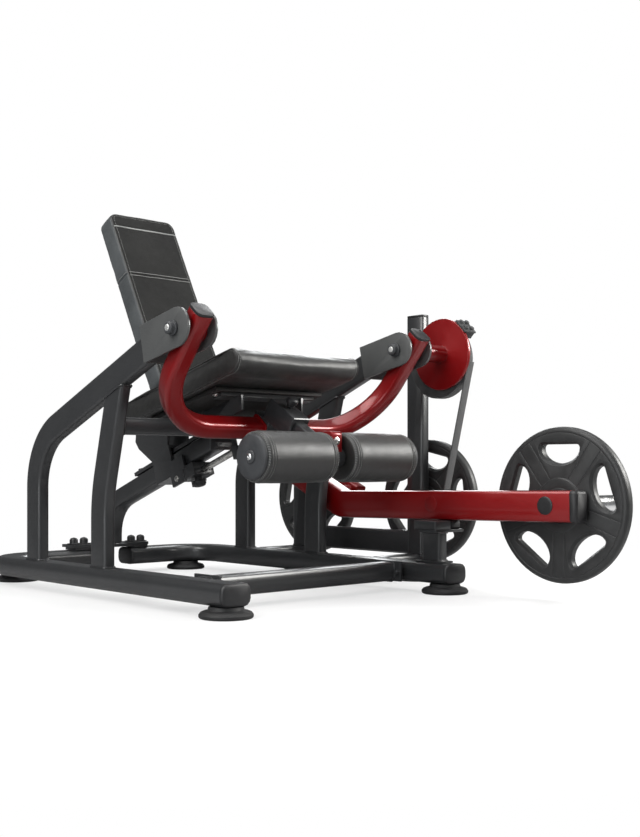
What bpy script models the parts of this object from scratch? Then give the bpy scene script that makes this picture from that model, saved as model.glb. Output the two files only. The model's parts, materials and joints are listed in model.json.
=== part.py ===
# Plate-loaded leg extension machine, built from separate solid pieces.
# Blender 4.5, metres, +Z up.
#
# The seated user faces -Y, the user's right is -X, and +X carries the weights.
# Everything is modelled about the point under the knee axis, which runs along X at Y = 0.
# finish() then moves each piece so that the origin is on the floor under the middle
# of the bounding box.

import math

import bmesh
import bpy
from mathutils import Matrix, Vector

X_AXIS = Vector((1, 0, 0))
Y_AXIS = Vector((0, 1, 0))
Z_AXIS = Vector((0, 0, 1))
SIDES = (("right", -1), ("left", 1))      # name, sign of X

# --------------------------------------------------------- shared dimensions
GAP = 0.0003                      # clearance left between touching pieces
CUT_REACH = 0.20                  # how far open-ended cutters run past the work
SHARP_ANGLE = math.radians(35.0)  # edges steeper than this are shaded sharp

SIDE_X = 0.417                    # centre plane of each side frame
FLOOR_Z = 0.067                   # centre height of the floor tubes
FLOOR_W, FLOOR_H = 0.095, 0.060   # flat-oval floor tube
FLOOR_CORNER = 0.021
FLOOR_FRONT_Y, FLOOR_REAR_Y = -0.193, 1.080
LEFT_HALF_END, RIGHT_HALF_END = 0.100, -0.040   # inner ends of the rear floor tubes
POST_W, POST_D = 0.040, 0.080     # upright tube, across and along Y
REAR_POST_Y = 0.795

KNEE_Z = 0.748
KNEE = (0, 0, KNEE_Z)
SHAFT_R = 0.0125
BORE_R = 0.0129                   # running fit on SHAFT_R
BRACKET_W = 0.098                 # width of a knee bracket over both plates
BRACKET_T = 0.008                 # plate thickness
BRACKET_BACK = 0.150              # from the knee axis to the back face
BRACKET_TILT = math.radians(12.0)
BRACKET_PLAY = 0.0005             # side clearance of turning parts at the brackets

RAIL_TILT = math.radians(19.5)
RAIL_Y, RAIL_Z = 0.642, 0.389     # reference point on the rail's centre line
SEAT_TILT = math.radians(14.0)
SEAT_Y, SEAT_Z = 0.057, 0.723     # front ridge of the seat surface
BACK_TILT = math.radians(27.7)
BACK_TOP_Y, BACK_TOP_Z = 0.840, 1.2385
BACK_W, BACK_LEN, BACK_T = 0.260, 0.665, 0.077

LEVER_Y, LEVER_Z = 0.710, 0.430   # pivot axis of the weight lever, along X
OUTER_X, OUTER_W, OUTER_D = 0.660, 0.036, 0.072   # uprights of the outer frame
OUTER_FRONT_Y, OUTER_REAR_Y = 0.173, 0.754

HORN_Y, HORN_Z, HORN_R = -0.495, 0.278, 0.0245
HORN_END = 0.840                  # X of the lever horn's tip
HORN_CHAMFER = 0.004
STORE_Z = 0.275                   # height of the storage horns
PLATE_R, STORED_R, PLATE_T = 0.225, 0.205, 0.042

HOUSING_HALF = 0.0320             # half width of the adjuster housing
FOOT_R = 0.070
REAR_FOOT_Y = 1.060
DROP = 0.007                      # height of the foot soles while modelling

# from the middle of the bounding box, at sole height, to the modelling origin
ORIGIN_SHIFT = Vector((-(HORN_END - SIDE_X - FOOT_R) / 2,
                       -(HORN_Y - PLATE_R + REAR_FOOT_Y + FOOT_R) / 2, -DROP))

# colour, roughness, metallic, coat weight
FINISHES = {
    "frame": ((0.022, 0.023, 0.026), 0.38, 0.20, 0.3),
    "red": ((0.300, 0.006, 0.010), 0.22, 0.25, 0.8),
    "leather": ((0.018, 0.018, 0.019), 0.48, 0.0, 0.0),
    "rubber": ((0.020, 0.020, 0.021), 0.65, 0.0, 0.0),
    "plastic": ((0.025, 0.025, 0.027), 0.45, 0.0, 0.0),
    "chrome": ((0.72, 0.72, 0.72), 0.15, 1.0, 0.0),
    "steel": ((0.40, 0.40, 0.41), 0.35, 1.0, 0.0),
    "silver": ((0.60, 0.60, 0.59), 0.30, 0.9, 0.0),
    "iron": ((0.045, 0.045, 0.047), 0.55, 0.1, 0.0),
    "belt": ((0.060, 0.062, 0.064), 0.70, 0.0, 0.0),
    "wood": ((0.25, 0.16, 0.09), 0.60, 0.0, 0.0),
    "bronze": ((0.45, 0.29, 0.12), 0.40, 1.0, 0.0),
}


# ------------------------------------------------------ materials and finish
def make_material(name, finish_name):
    colour, roughness, metallic, coat = FINISHES[finish_name]
    material = bpy.data.materials.new(name)
    material.use_nodes = True
    inputs = material.node_tree.nodes["Principled BSDF"].inputs
    inputs["Base Color"].default_value = (*colour, 1.0)
    inputs["Roughness"].default_value = roughness
    inputs["Metallic"].default_value = metallic
    inputs["Coat Weight"].default_value = coat
    material.diffuse_color = (*colour, 1.0)
    return material


def finish(ob, name, finish_name, pivot=(0, 0, 0)):
    """Name and colour a piece, put its origin at the pivot and move it into place."""
    pivot = Vector(pivot)
    ob.name = name
    ob.data.name = name
    ob.data.materials.clear()
    ob.data.materials.append(make_material(name + "_" + finish_name, finish_name))
    ob.data.transform(Matrix.Translation(-pivot))
    ob.location = pivot + ORIGIN_SHIFT


# ------------------------------------------------------------ mesh utilities
def shade(mesh):
    mesh.shade_smooth()
    mesh.set_sharp_from_angle(angle=SHARP_ANGLE)


def to_object(bm):
    bmesh.ops.recalc_face_normals(bm, faces=bm.faces[:])
    mesh = bpy.data.meshes.new("part")
    bm.to_mesh(mesh)
    bm.free()
    ob = bpy.data.objects.new("part", mesh)
    bpy.context.scene.collection.objects.link(ob)
    shade(mesh)
    return ob


def boolean(base, others, operation):
    """Apply the exact boolean with each of the others in turn, and use them up."""
    for other in others:
        modifier = base.modifiers.new("bool", "BOOLEAN")
        modifier.operation = operation
        modifier.solver = "EXACT"
        modifier.object = other
        bpy.context.view_layer.update()
        graph = bpy.context.evaluated_depsgraph_get()
        mesh = bpy.data.meshes.new_from_object(base.evaluated_get(graph))
        base.modifiers.clear()
        base.data = mesh
        bpy.data.objects.remove(other, do_unlink=True)
    shade(base.data)


def join(base, parts):
    boolean(base, parts, "UNION")


def cut(base, cutters):
    boolean(base, cutters, "DIFFERENCE")


def rounded(w, h, radius, steps):
    """Rounded rectangle, w along the first axis and h along the second."""
    x, y = w / 2 - radius, h / 2 - radius
    points = []
    for cx, cy, start in ((x, y, 0), (-x, y, 90), (-x, -y, 180), (x, -y, 270)):
        for i in range(steps + 1):
            a = math.radians(start + 90.0 * i / steps)
            points.append((cx + radius * math.cos(a), cy + radius * math.sin(a)))
    return points


def circle(radius, sides):
    angles = [2 * math.pi * (i + 0.5) / sides for i in range(sides)]
    return [(radius * math.cos(a), radius * math.sin(a)) for a in angles]


def fillet(points, radius, steps):
    """Polyline with each inner corner replaced by an arc."""
    points = [Vector(p) for p in points]
    path = [points[0]]
    for before, corner, after in zip(points, points[1:], points[2:]):
        back = (before - corner).normalized()
        ahead = (after - corner).normalized()
        angle = back.angle(ahead)
        tangent = radius / math.tan(angle / 2)
        centre = corner + (back + ahead).normalized() * (radius / math.sin(angle / 2))
        spoke = corner + back * tangent - centre
        axis = spoke.cross(corner + ahead * tangent - centre).normalized()
        for i in range(steps + 1):
            turn = Matrix.Rotation((math.pi - angle) * i / steps, 3, axis)
            path.append(centre + turn @ spoke)
    path.append(points[-1])
    return path


def loft(rings):
    """Closed solid through rings of points, with flat ends."""
    bm = bmesh.new()
    rings = [[bm.verts.new(p) for p in ring] for ring in rings]
    count = len(rings[0])
    for ring, following in zip(rings, rings[1:]):
        for i in range(count):
            j = (i + 1) % count
            bm.faces.new((ring[i], ring[j], following[j], following[i]))
    bm.faces.new(rings[0][::-1])
    bm.faces.new(rings[-1])
    return to_object(bm)


def sweep(path, section, side=X_AXIS):
    """Section carried along the path, mitred at each joint; side is its first axis."""
    path = [Vector(p) for p in path]
    rings = []
    last_tangent = None
    for i, p in enumerate(path):
        if i == 0:
            arrive = leave = tangent = (path[1] - p).normalized()
        elif i == len(path) - 1:
            arrive = leave = tangent = (p - path[i - 1]).normalized()
        else:
            arrive = (p - path[i - 1]).normalized()
            leave = (path[i + 1] - p).normalized()
            tangent = (arrive + leave).normalized()
        if last_tangent is not None:
            side = last_tangent.rotation_difference(tangent) @ side
        side = (side - tangent * side.dot(tangent)).normalized()
        up = tangent.cross(side).normalized()
        last_tangent = tangent
        bend = leave - arrive
        half_turn = arrive.angle(leave) / 2 if bend.length > 1e-9 else 0.0
        ring = []
        for a, b in section:
            offset = side * a + up * b
            if half_turn > 1e-6:
                inward = bend.normalized()
                stretch = 1 / math.cos(half_turn) - 1
                offset = offset + inward * (offset.dot(inward) * stretch)
            ring.append(p + offset)
        rings.append(ring)
    return loft(rings)


def square_to(axis):
    """Unit vector square to the axis, as near to +Z as it can be, or to +Y if steep."""
    side = Z_AXIS if abs(axis.z) < 0.9 else Y_AXIS
    return (side - axis * side.dot(axis)).normalized()


def rod(start, end, radius, sides=24):
    start, end = Vector(start), Vector(end)
    return sweep([start, end], circle(radius, sides), square_to((end - start).normalized()))


def x_rod(x0, x1, y, z, radius, sides=24):
    return rod((x0, y, z), (x1, y, z), radius, sides)


def box(low, high, bevel=0.0, place=None):
    """Box between two corners; place, if given, maps it out of a tilted frame."""
    bm = bmesh.new()
    bmesh.ops.create_cube(bm, size=1.0)
    low, high = Vector(low), Vector(high)
    size, middle = high - low, (high + low) / 2
    for v in bm.verts:
        v.co = Vector((v.co.x * size.x, v.co.y * size.y, v.co.z * size.z)) + middle
    if bevel:
        bmesh.ops.bevel(bm, geom=bm.edges[:], offset=bevel, segments=1, profile=0.5,
                        affect="EDGES")
    if place:
        for v in bm.verts:
            v.co = place(*v.co)
    return to_object(bm)


def prism(outline, x0, x1, bevel=0.0):
    """Outline of (y, z) points extruded along X; bevel rounds its two end rims."""
    bm = bmesh.new()
    face = bm.faces.new([bm.verts.new((x0, y, z)) for y, z in outline])
    extruded = bmesh.ops.extrude_face_region(bm, geom=[face])["geom"]
    moved = [g for g in extruded if isinstance(g, bmesh.types.BMVert)]
    bmesh.ops.translate(bm, verts=moved, vec=(x1 - x0, 0, 0))
    if bevel:
        bmesh.ops.recalc_face_normals(bm, faces=bm.faces[:])
        rims = [e for e in bm.edges if abs(e.verts[0].co.x - e.verts[1].co.x) < 1e-7]
        bmesh.ops.bevel(bm, geom=rims, offset=bevel, segments=1, profile=0.5, affect="EDGES")
    return to_object(bm)


def lathe(profile, origin, axis=X_AXIS, sides=24, closed=False, phase=0.0):
    """Turned solid from (distance along the axis, radius) points.

    closed joins the last point to the first; phase turns the facets, in facets.
    """
    axis = axis.normalized()
    origin = Vector(origin)
    side = square_to(axis)
    other = axis.cross(side)
    angles = [2 * math.pi * (i + phase) / sides for i in range(sides)]
    bm = bmesh.new()
    rings = []
    for distance, radius in profile:
        centre = origin + axis * distance
        if radius < 1e-9:
            rings.append([bm.verts.new(centre)])
        else:
            rings.append([bm.verts.new(centre + (side * math.cos(a) + other * math.sin(a))
                                       * radius) for a in angles])
    pairs = list(zip(rings, rings[1:]))
    if closed:
        pairs.append((rings[-1], rings[0]))
    for a, b in pairs:
        if len(a) == 1 and len(b) == 1:
            continue
        for i in range(sides):
            j = (i + 1) % sides
            if len(a) == 1:
                bm.faces.new((a[0], b[i], b[j]))
            elif len(b) == 1:
                bm.faces.new((a[i], a[j], b[0]))
            else:
                bm.faces.new((a[i], a[j], b[j], b[i]))
    return to_object(bm)


def end_cap(base, direction, section, bulge=0.012, side=X_AXIS):
    """Domed cap on the end of a tube of the given section."""
    up = direction.cross(side)
    # distance from the tube end, scale of the section
    layers = ((GAP, 1.0), (bulge * 0.45, 0.995), (bulge * 0.80, 0.94), (bulge, 0.80))
    return loft([[Vector(base) + direction * distance + (side * a + up * b) * scale
                  for a, b in section] for distance, scale in layers])


# -------------------------------------------------------------- tilted frames
def tilted_frame(origin, along, normal):
    """Function from (x, distance along, distance along the normal) to a point.

    origin, along and normal are (y, z) pairs.
    """
    def place(x, s, n):
        return Vector((x, origin[0] + s * along[0] + n * normal[0],
                       origin[1] + s * along[1] + n * normal[1]))
    return place


def outline_in(place, points):
    return [place(0, s, n).yz for s, n in points]


def cos_sin(angle):
    return math.cos(angle), math.sin(angle)


# knee brackets: back and down from the knee axis, then upwards
c, s = cos_sin(BRACKET_TILT)
on_bracket = tilted_frame((0, KNEE_Z), (c, -s), (s, c))

# back rest rail: forward and up, then upwards
c, s = cos_sin(RAIL_TILT)
on_rail = tilted_frame((RAIL_Y, RAIL_Z), (-c, s), (s, c))
RAIL_FORWARD = Vector((0, -c, s))
RAIL_DOWN = Vector((0, -s, -c))

# seat: back and down from the front ridge, then up out of the surface
c, s = cos_sin(SEAT_TILT)
on_seat = tilted_frame((SEAT_Y, SEAT_Z), (c, -s), (s, c))

# back rest: up from the pad's bottom, then forward from its back face
c, s = cos_sin(BACK_TILT)
on_back = tilted_frame((BACK_TOP_Y - BACK_LEN * s + BACK_T * c,
                        BACK_TOP_Z - BACK_LEN * c - BACK_T * s), (s, c), (-c, s))

# =============================================================== side frames
FLOOR_SECTION = rounded(FLOOR_W, FLOOR_H, FLOOR_CORNER, 3)
FLOOR_BEND_R = 0.140
POST_SECTION = rounded(POST_W, POST_D, 0.010, 2)
POST_FOOT_Z = 0.075               # the uprights start inside the floor tube
FRONT_POST_Y, FRONT_BEND_Z, FRONT_BEND_R = 0.418, 0.300, 0.50
FRONT_POST_TOP = (0.326, 0.645)   # y, z
REAR_BEND_R = 0.200
TOP_SLOPE = math.tan(math.radians(21.9))   # rise of the upper tube towards the knee
TOP_Y, TOP_Z = 0.566, 0.551       # point on the upper tube's centre line
TOP_FRONT_Y = 0.090

LUG_HALF = 0.030                  # half height of the lever lugs, and their reach forward
LEFT_LUG_X = (0.421, 0.4365)
LEFT_BORE_X = (0.40, 0.46)
AXLE_X, AXLE_LEN = 0.4130, 0.263
AXLE_HEAD_R, AXLE_HEAD_T = 0.020, 0.006
AXLE_HEAD_ROOM = 0.0015
AXLE_RECESS_X = 0.39              # inner end of the recess around the axle head


def top_tube_z(y):
    return TOP_Z + (TOP_Y - y) * TOP_SLOPE


def bracket_cutter(back, x0, x1):
    """Block over everything forward of a distance back along the bracket."""
    corners = ((-CUT_REACH, -CUT_REACH), (back, -CUT_REACH),
               (back, CUT_REACH), (-CUT_REACH, CUT_REACH))
    return prism(outline_in(on_bracket, corners), x0, x1)


def lever_lug(x0, x1, rear_y):
    return box((x0, LEVER_Y - LUG_HALF, LEVER_Z - LUG_HALF), (x1, rear_y, LEVER_Z + LUG_HALF))


def side_frame(sign, half_end):
    """Floor tube turning inwards at the rear, front upright, rear upright and upper tube."""
    x = sign * SIDE_X
    frame = sweep(fillet([(x, FLOOR_FRONT_Y, FLOOR_Z), (x, FLOOR_REAR_Y, FLOOR_Z),
                          (half_end, FLOOR_REAR_Y, FLOOR_Z)], FLOOR_BEND_R, 6), FLOOR_SECTION)
    front = fillet([(x, FRONT_POST_Y, POST_FOOT_Z), (x, FRONT_POST_Y, FRONT_BEND_Z),
                    (x, *FRONT_POST_TOP)], FRONT_BEND_R, 4)
    rear = fillet([(x, REAR_POST_Y, POST_FOOT_Z), (x, REAR_POST_Y, top_tube_z(REAR_POST_Y)),
                   (x, TOP_FRONT_Y, top_tube_z(TOP_FRONT_Y))], REAR_BEND_R, 8)
    join(frame, [sweep(front, POST_SECTION), sweep(rear, POST_SECTION)])
    # the upper tube stops at the back of the knee bracket
    cut(frame, [bracket_cutter(BRACKET_BACK + GAP, x - POST_D, x + POST_D)])
    return frame


def side_frames():
    finish(side_frame(-1, RIGHT_HALF_END), "right_side_frame", "frame")
    left = side_frame(1, LEFT_HALF_END)
    join(left, [lever_lug(*LEFT_LUG_X, REAR_POST_Y)])
    # bore for the lever axle, and a recess around its head
    recess_end = AXLE_X + AXLE_HEAD_T + AXLE_HEAD_ROOM
    cut(left, [x_rod(*LEFT_BORE_X, LEVER_Y, LEVER_Z, BORE_R),
               x_rod(AXLE_RECESS_X, recess_end, LEVER_Y, LEVER_Z,
                     AXLE_HEAD_R + AXLE_HEAD_ROOM)])
    finish(left, "left_side_frame", "frame")


def lever_axle():
    axle = lathe([(0, 0), (0, AXLE_HEAD_R), (AXLE_HEAD_T, AXLE_HEAD_R), (AXLE_HEAD_T, SHAFT_R),
                  (AXLE_LEN, SHAFT_R), (AXLE_LEN, 0)], (AXLE_X, LEVER_Y, LEVER_Z))
    finish(axle, "lever_axle", "steel")


def floor_end_caps():
    for tag, sign in SIDES:
        cap = end_cap((sign * SIDE_X, FLOOR_FRONT_Y, FLOOR_Z), -Y_AXIS, FLOOR_SECTION)
        finish(cap, "front_end_cap_" + tag, "plastic")
    cap = end_cap((LEFT_HALF_END, FLOOR_REAR_Y, FLOOR_Z), -X_AXIS, FLOOR_SECTION, side=Y_AXIS)
    finish(cap, "rear_end_cap_left", "plastic")


# ========================================================= cross tube and beam
CROSS_SECTION = rounded(0.060, 0.058, 0.014, 2)
CROSS_Y = 0.010
CROSS_END_X = SIDE_X - FLOOR_W / 2 - 2 * GAP
FLANGE_INSET, FLANGE_HALF_T, FLANGE_HALF_Y = 0.022, 0.004, 0.055
FLANGE_Z = (0.038, 0.1000)
FLANGE_BOLT_Y, FLANGE_BOLT_R = 0.046, 0.0075     # Y offset from the tube, radius
FLANGE_BOLT_INSETS = (0.020, 0.038)              # bolt ends, inwards from the tube end

BEAM_SECTION = rounded(0.050, 0.050, 0.008, 2)
BEAM_Y, BEAM_Z = 0.360, 0.5050


def front_cross_tube():
    """Cross tube between the floor tubes, with a bolted flange near each end."""
    tube = sweep([(-CROSS_END_X, CROSS_Y, FLOOR_Z), (CROSS_END_X, CROSS_Y, FLOOR_Z)],
                 CROSS_SECTION, Y_AXIS)
    parts = []
    for _, sign in SIDES:
        x = sign * (CROSS_END_X - FLANGE_INSET)
        parts.append(box((x - FLANGE_HALF_T, CROSS_Y - FLANGE_HALF_Y, FLANGE_Z[0]),
                         (x + FLANGE_HALF_T, CROSS_Y + FLANGE_HALF_Y, FLANGE_Z[1])))
        ends = [sign * (CROSS_END_X - inset) for inset in FLANGE_BOLT_INSETS]
        for y in (CROSS_Y - FLANGE_BOLT_Y, CROSS_Y + FLANGE_BOLT_Y):
            parts.append(x_rod(*ends, y, FLOOR_Z, FLANGE_BOLT_R, 6))
    join(tube, parts)
    finish(tube, "front_cross_tube", "frame")


def seat_cross_beam():
    """Beam under the seat, with a plate for the rail and a lug for the strut."""
    end_x = SIDE_X - POST_W / 2 - GAP
    beam = sweep([(-end_x, BEAM_Y, BEAM_Z), (end_x, BEAM_Y, BEAM_Z)], BEAM_SECTION, Y_AXIS)
    join(beam, [box((-0.008, 0.3108, -0.058), (0.008, 0.320, 0.028), place=on_rail),
                box((-0.014, 0.3105, -0.088), (0.014, 0.335, -0.050), place=on_rail)])
    finish(beam, "seat_cross_beam", "frame")


# ===================================================================== spine
SPINE_SECTION = rounded(0.060, 0.060, 0.010, 2)
SPINE_Y, SPINE_FOOT_Z, SPINE_BEND_R = 1.030, 0.108, 0.140
RAIL_END = 0.266                  # front end of the rail, along it
# low corner, high corner
SPINE_BOXES = (
    ((-0.140, 1.043, 0.1065), (0.166, 1.125, 0.1165)),     # plate over both floor tube ends
    ((-0.046, 0.994, 0.1066), (0.046, 1.050, 0.1164)),     # plate under the post
    ((-0.132, 1.045, 0.0975), (-0.066, 1.115, 0.1080)),    # pad on the right floor tube
    ((0.108, 1.045, 0.0975), (0.164, 1.115, 0.1080)),      # pad on the left floor tube
    ((-0.050, 0.3856, 0.4400), (0.050, 0.3930, 0.5270)),   # plate behind the seat beam
)
# the same, in the rail's frame
RAIL_BOXES = (
    ((-0.022, -0.205, 0.036), (0.022, 0.200, 0.048)),      # slide bar
    ((-0.012, -0.200, 0.028), (0.012, -0.180, 0.037)),     # its rear spacer
    ((-0.012, 0.170, 0.028), (0.012, 0.190, 0.037)),       # its front spacer
)
RAIL_STUD_AT, RAIL_STUD_N, RAIL_STUD_R = -0.190, (0.047, 0.058), 0.011

SPINE_BOLTS = (("right", (-0.120, -0.080)), ("left", (0.116, 0.156)))   # name, bolt X
WASHER_HALF_X, WASHER_HALF_Y, WASHER_Z = 0.016, 0.018, (0.1168, 0.1200)
BOLT_HEAD_Z = 0.1190
BOLT_HEAD = ((0, 0), (0, 0.0145), (0.013, 0.0145), (0.019, 0.011), (0.022, 0.0))


def centre_spine():
    """Foot plates, curved post, inclined rail and slide bar."""
    corner_z = RAIL_Z - (SPINE_Y - RAIL_Y) * math.tan(RAIL_TILT)
    path = fillet([(0, SPINE_Y, SPINE_FOOT_Z), (0, SPINE_Y, corner_z),
                   on_rail(0, RAIL_END, 0)], SPINE_BEND_R, 7)
    spine = sweep(path, SPINE_SECTION)
    parts = [box(low, high) for low, high in SPINE_BOXES]
    parts += [box(low, high, place=on_rail) for low, high in RAIL_BOXES]
    parts.append(rod(*[on_rail(0, RAIL_STUD_AT, n) for n in RAIL_STUD_N], RAIL_STUD_R, 8))
    join(spine, parts)
    finish(spine, "centre_spine", "frame")


def spine_bolts():
    """Two domed bolt heads on a shared washer strip, on each side."""
    for tag, bolt_xs in SPINE_BOLTS:
        strip = box((bolt_xs[0] - WASHER_HALF_X, FLOOR_REAR_Y - WASHER_HALF_Y, WASHER_Z[0]),
                    (bolt_xs[1] + WASHER_HALF_X, FLOOR_REAR_Y + WASHER_HALF_Y, WASHER_Z[1]))
        join(strip, [lathe(BOLT_HEAD, (x, FLOOR_REAR_Y, BOLT_HEAD_Z), Z_AXIS, 12)
                     for x in bolt_xs])
        finish(strip, "spine_bolts_" + tag, "steel")


# =============================================================== outer frame
OUTER_SECTION = rounded(OUTER_W, OUTER_D, 0.008, 2)
OUTER_FOOT_Z = 0.085
OUTER_FRONT_TOP, OUTER_REAR_TOP = 0.888, 0.500
OUTER_CAP_T = 0.008
STRINGER_SECTION = rounded(OUTER_W - 0.003, 0.079, 0.006, 1)
STRINGER_Z = 0.1325
OUTRIGGER_X = (SIDE_X + FLOOR_W / 2 + 2 * GAP, 0.692)
OUTER_BORE_REACH = 0.05
STORE_FLANGE_R, STORE_FLANGE_T = 0.034, 0.006
STORE_LEN = 0.132


def outer_lever_frame():
    """Two uprights, a stringer joining them, and a floor tube under each."""
    frame = sweep([(OUTER_X, OUTER_FRONT_Y, OUTER_FOOT_Z),
                   (OUTER_X, OUTER_FRONT_Y, OUTER_FRONT_TOP)], OUTER_SECTION)
    parts = [sweep([(OUTER_X, OUTER_REAR_Y, OUTER_FOOT_Z),
                    (OUTER_X, OUTER_REAR_Y, OUTER_REAR_TOP)], OUTER_SECTION),
             sweep([(OUTER_X, OUTER_FRONT_Y, STRINGER_Z),
                    (OUTER_X, OUTER_REAR_Y, STRINGER_Z)], STRINGER_SECTION)]
    for y in (OUTER_FRONT_Y, OUTER_REAR_Y):
        parts.append(sweep([(x, y, FLOOR_Z) for x in OUTRIGGER_X], CROSS_SECTION, Y_AXIS))
    parts.append(lever_lug(OUTER_X - 0.0165, OUTER_X + 0.0150, OUTER_REAR_Y))
    join(frame, parts)
    cut(frame, [x_rod(OUTER_X - OUTER_BORE_REACH, OUTER_X + OUTER_BORE_REACH,
                      LEVER_Y, LEVER_Z, BORE_R)])
    finish(frame, "outer_lever_frame", "frame")


def outer_post_cap():
    cap = sweep([(OUTER_X, OUTER_FRONT_Y, OUTER_FRONT_TOP + GAP),
                 (OUTER_X, OUTER_FRONT_Y, OUTER_FRONT_TOP + OUTER_CAP_T)], OUTER_SECTION)
    finish(cap, "outer_post_cap", "plastic")


def storage_horns():
    profile = [(0, 0), (0, STORE_FLANGE_R), (STORE_FLANGE_T, STORE_FLANGE_R),
               (STORE_FLANGE_T, HORN_R), (STORE_LEN - HORN_CHAMFER, HORN_R),
               (STORE_LEN, HORN_R - HORN_CHAMFER), (STORE_LEN, 0)]
    for tag, y in (("front", OUTER_FRONT_Y), ("rear", OUTER_REAR_Y)):
        horn = lathe(profile, (OUTER_X + OUTER_W / 2 + GAP, y, STORE_Z), sides=28)
        finish(horn, "storage_horn_" + tag, "chrome")


# ================================================== foot pucks and lever stop
# height, radius
FOOT_PROFILE = ((DROP, 0), (DROP, 0.0660), (0.0098, FOOT_R), (0.0165, FOOT_R),
                (0.0225, 0.0655), (0.0255, 0.0580), (0.0280, 0.0470), (0.0362, 0.0450),
                (0.0362, 0))
# name, x, y
FEET = (
    ("front_right", -SIDE_X, -0.159), ("front_left", SIDE_X, -0.159),
    ("rear_right", -0.345, REAR_FOOT_Y), ("rear_left", 0.345, REAR_FOOT_Y),
    ("outer_front", 0.655, OUTER_FRONT_Y), ("outer_rear", 0.655, OUTER_REAR_Y),
)
STOP_X, STOP_Y, STOP_Z = 0.427, -0.110, (0.0975, 0.1900)
STOP_SECTION = rounded(0.038, 0.070, 0.005, 1)


def feet():
    for tag, x, y in FEET:
        finish(lathe(FOOT_PROFILE, (x, y, 0), Z_AXIS, 28), "foot_" + tag, "rubber")


def lever_stop():
    """Short post with plates and a block, and the rubber bumper beside the block."""
    post = sweep([(STOP_X, STOP_Y, z) for z in STOP_Z], STOP_SECTION)
    join(post, [box((0.395, -0.142, 0.1880), (0.524, -0.071, 0.1960)),           # top plate
                box((0.395, -0.166, 0.0975), (0.446, -0.060, 0.1030)),           # foot plate
                box((0.396, -0.139, 0.1955), (0.4680, -0.050, 0.2232), 0.002)])  # block
    finish(post, "lever_stop_post", "frame")
    bumper = box((0.474, -0.136, 0.1963), (0.520, -0.077, 0.2235), 0.006)
    finish(bumper, "stop_bumper", "rubber")


# ============================================================= knee brackets
BRACKET_HALF = 0.052              # half height, and radius of the rounded front
BRACKET_ROUND_AT = -0.012         # centre of that rounding, along the bracket


def knee_brackets():
    """Two side plates with rounded fronts, joined by a back plate."""
    outline = []
    for i in range(11):
        a = math.radians(90 + 180 * i / 10)
        outline.append((BRACKET_ROUND_AT + BRACKET_HALF * math.cos(a),
                        BRACKET_HALF * math.sin(a)))
    outline += [(BRACKET_BACK, -BRACKET_HALF), (BRACKET_BACK, BRACKET_HALF)]
    half = BRACKET_W / 2
    for tag, sign in SIDES:
        x = sign * SIDE_X
        bracket = prism(outline_in(on_bracket, outline), x - half, x + half)
        cut(bracket, [bracket_cutter(BRACKET_BACK - BRACKET_T,
                                     x - half + BRACKET_T, x + half - BRACKET_T),
                      x_rod(x - BRACKET_W, x + BRACKET_W, 0, KNEE_Z, BORE_R)])
        finish(bracket, tag + "_pivot_bracket", "frame")


# ====================================================================== seat
SEAT_W, SEAT_LEN, SEAT_T = 0.475, 0.572, 0.078
SEAT_RIM = 0.010                  # bevel round both sides of the pad
NOSE_AT, NOSE_BULGE = 0.012, 1.05     # centre of the rolled front, its stretch forward
SEAT_REAR_LOW_R, SEAT_REAR_TOP_R = 0.012, 0.022
SEAT_WEB_T = 0.008
# y, z
SEAT_WEB = ((0.150, 0.5975), (0.3345, 0.5510), (0.3345, 0.488), (0.150, 0.552))


def seat_frame():
    """Rear plate, two side webs and a cross strip under the board."""
    frame = box((-0.120, 0.3270, 0.4880), (0.120, 0.3345, 0.5340))
    parts = [prism(SEAT_WEB, x, x + SEAT_WEB_T) for x in (-0.120, 0.112)]
    parts.append(box((-0.180, 0.136, -0.1010), (0.180, 0.176, -0.0910), place=on_seat))
    join(frame, parts)
    finish(frame, "seat_frame", "frame")


def seat_board():
    board = box((-0.205, 0.125, -0.0903), (0.205, 0.545, -0.0783), place=on_seat)
    finish(board, "seat_board", "wood")


def seat_pad():
    """Flat top and bottom, rolled front, rounded rear edges."""
    half = SEAT_T / 2
    low, top = SEAT_REAR_LOW_R, SEAT_REAR_TOP_R
    outline = []
    for i in range(9):
        a = math.radians(90 + 180 * i / 8)
        outline.append((NOSE_AT + half * NOSE_BULGE * math.cos(a), -half + half * math.sin(a)))
    for i in range(5):
        a = math.radians(270 + 90 * i / 4)
        outline.append((SEAT_LEN - low + low * math.cos(a), -SEAT_T + low + low * math.sin(a)))
    for i in range(5):
        a = math.radians(90 * i / 4)
        outline.append((SEAT_LEN - top + top * math.cos(a), -top + top * math.sin(a)))
    pad = prism(outline_in(on_seat, outline), -SEAT_W / 2, SEAT_W / 2, SEAT_RIM)
    finish(pad, "seat_pad", "leather")


# ======================================================== back rest, sliding
CARRIAGE_PIVOT = on_rail(0, 0, 0)
CHEEKS = ((-0.0435, -0.0345), (0.0345, 0.0435))   # X range of each side plate
# y, z: side plates reaching up behind the back rest
CHEEK_OUTLINE = (
    (0.628, 0.420), (0.700, 0.395), (0.792, 0.446), (0.812, 0.470), (0.806, 0.520),
    (0.728, 0.600), (0.690, 0.640), (0.640, 0.640), (0.626, 0.600), (0.626, 0.560),
)
KNOB_AT = 0.105                   # position of the knob along the rail
KNOB_SHOULDER = 0.0753            # underside of the carriage block, where the knob starts
PIN_HOLE_R = 0.0055               # holes for the knob and pop pin stems
# distance below the rail's centre line, radius
KNOB_PROFILE = ((0.0480, 0), (0.0480, 0.0050), (KNOB_SHOULDER, 0.0050),
                (KNOB_SHOULDER, 0.0120), (0.0850, 0.0120), (0.0865, 0.0210),
                (0.0960, 0.0225), (0.1030, 0.0180), (0.1050, 0))
STRUT_N = -0.0600                 # the strut lies this far below the rail's centre line
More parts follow.
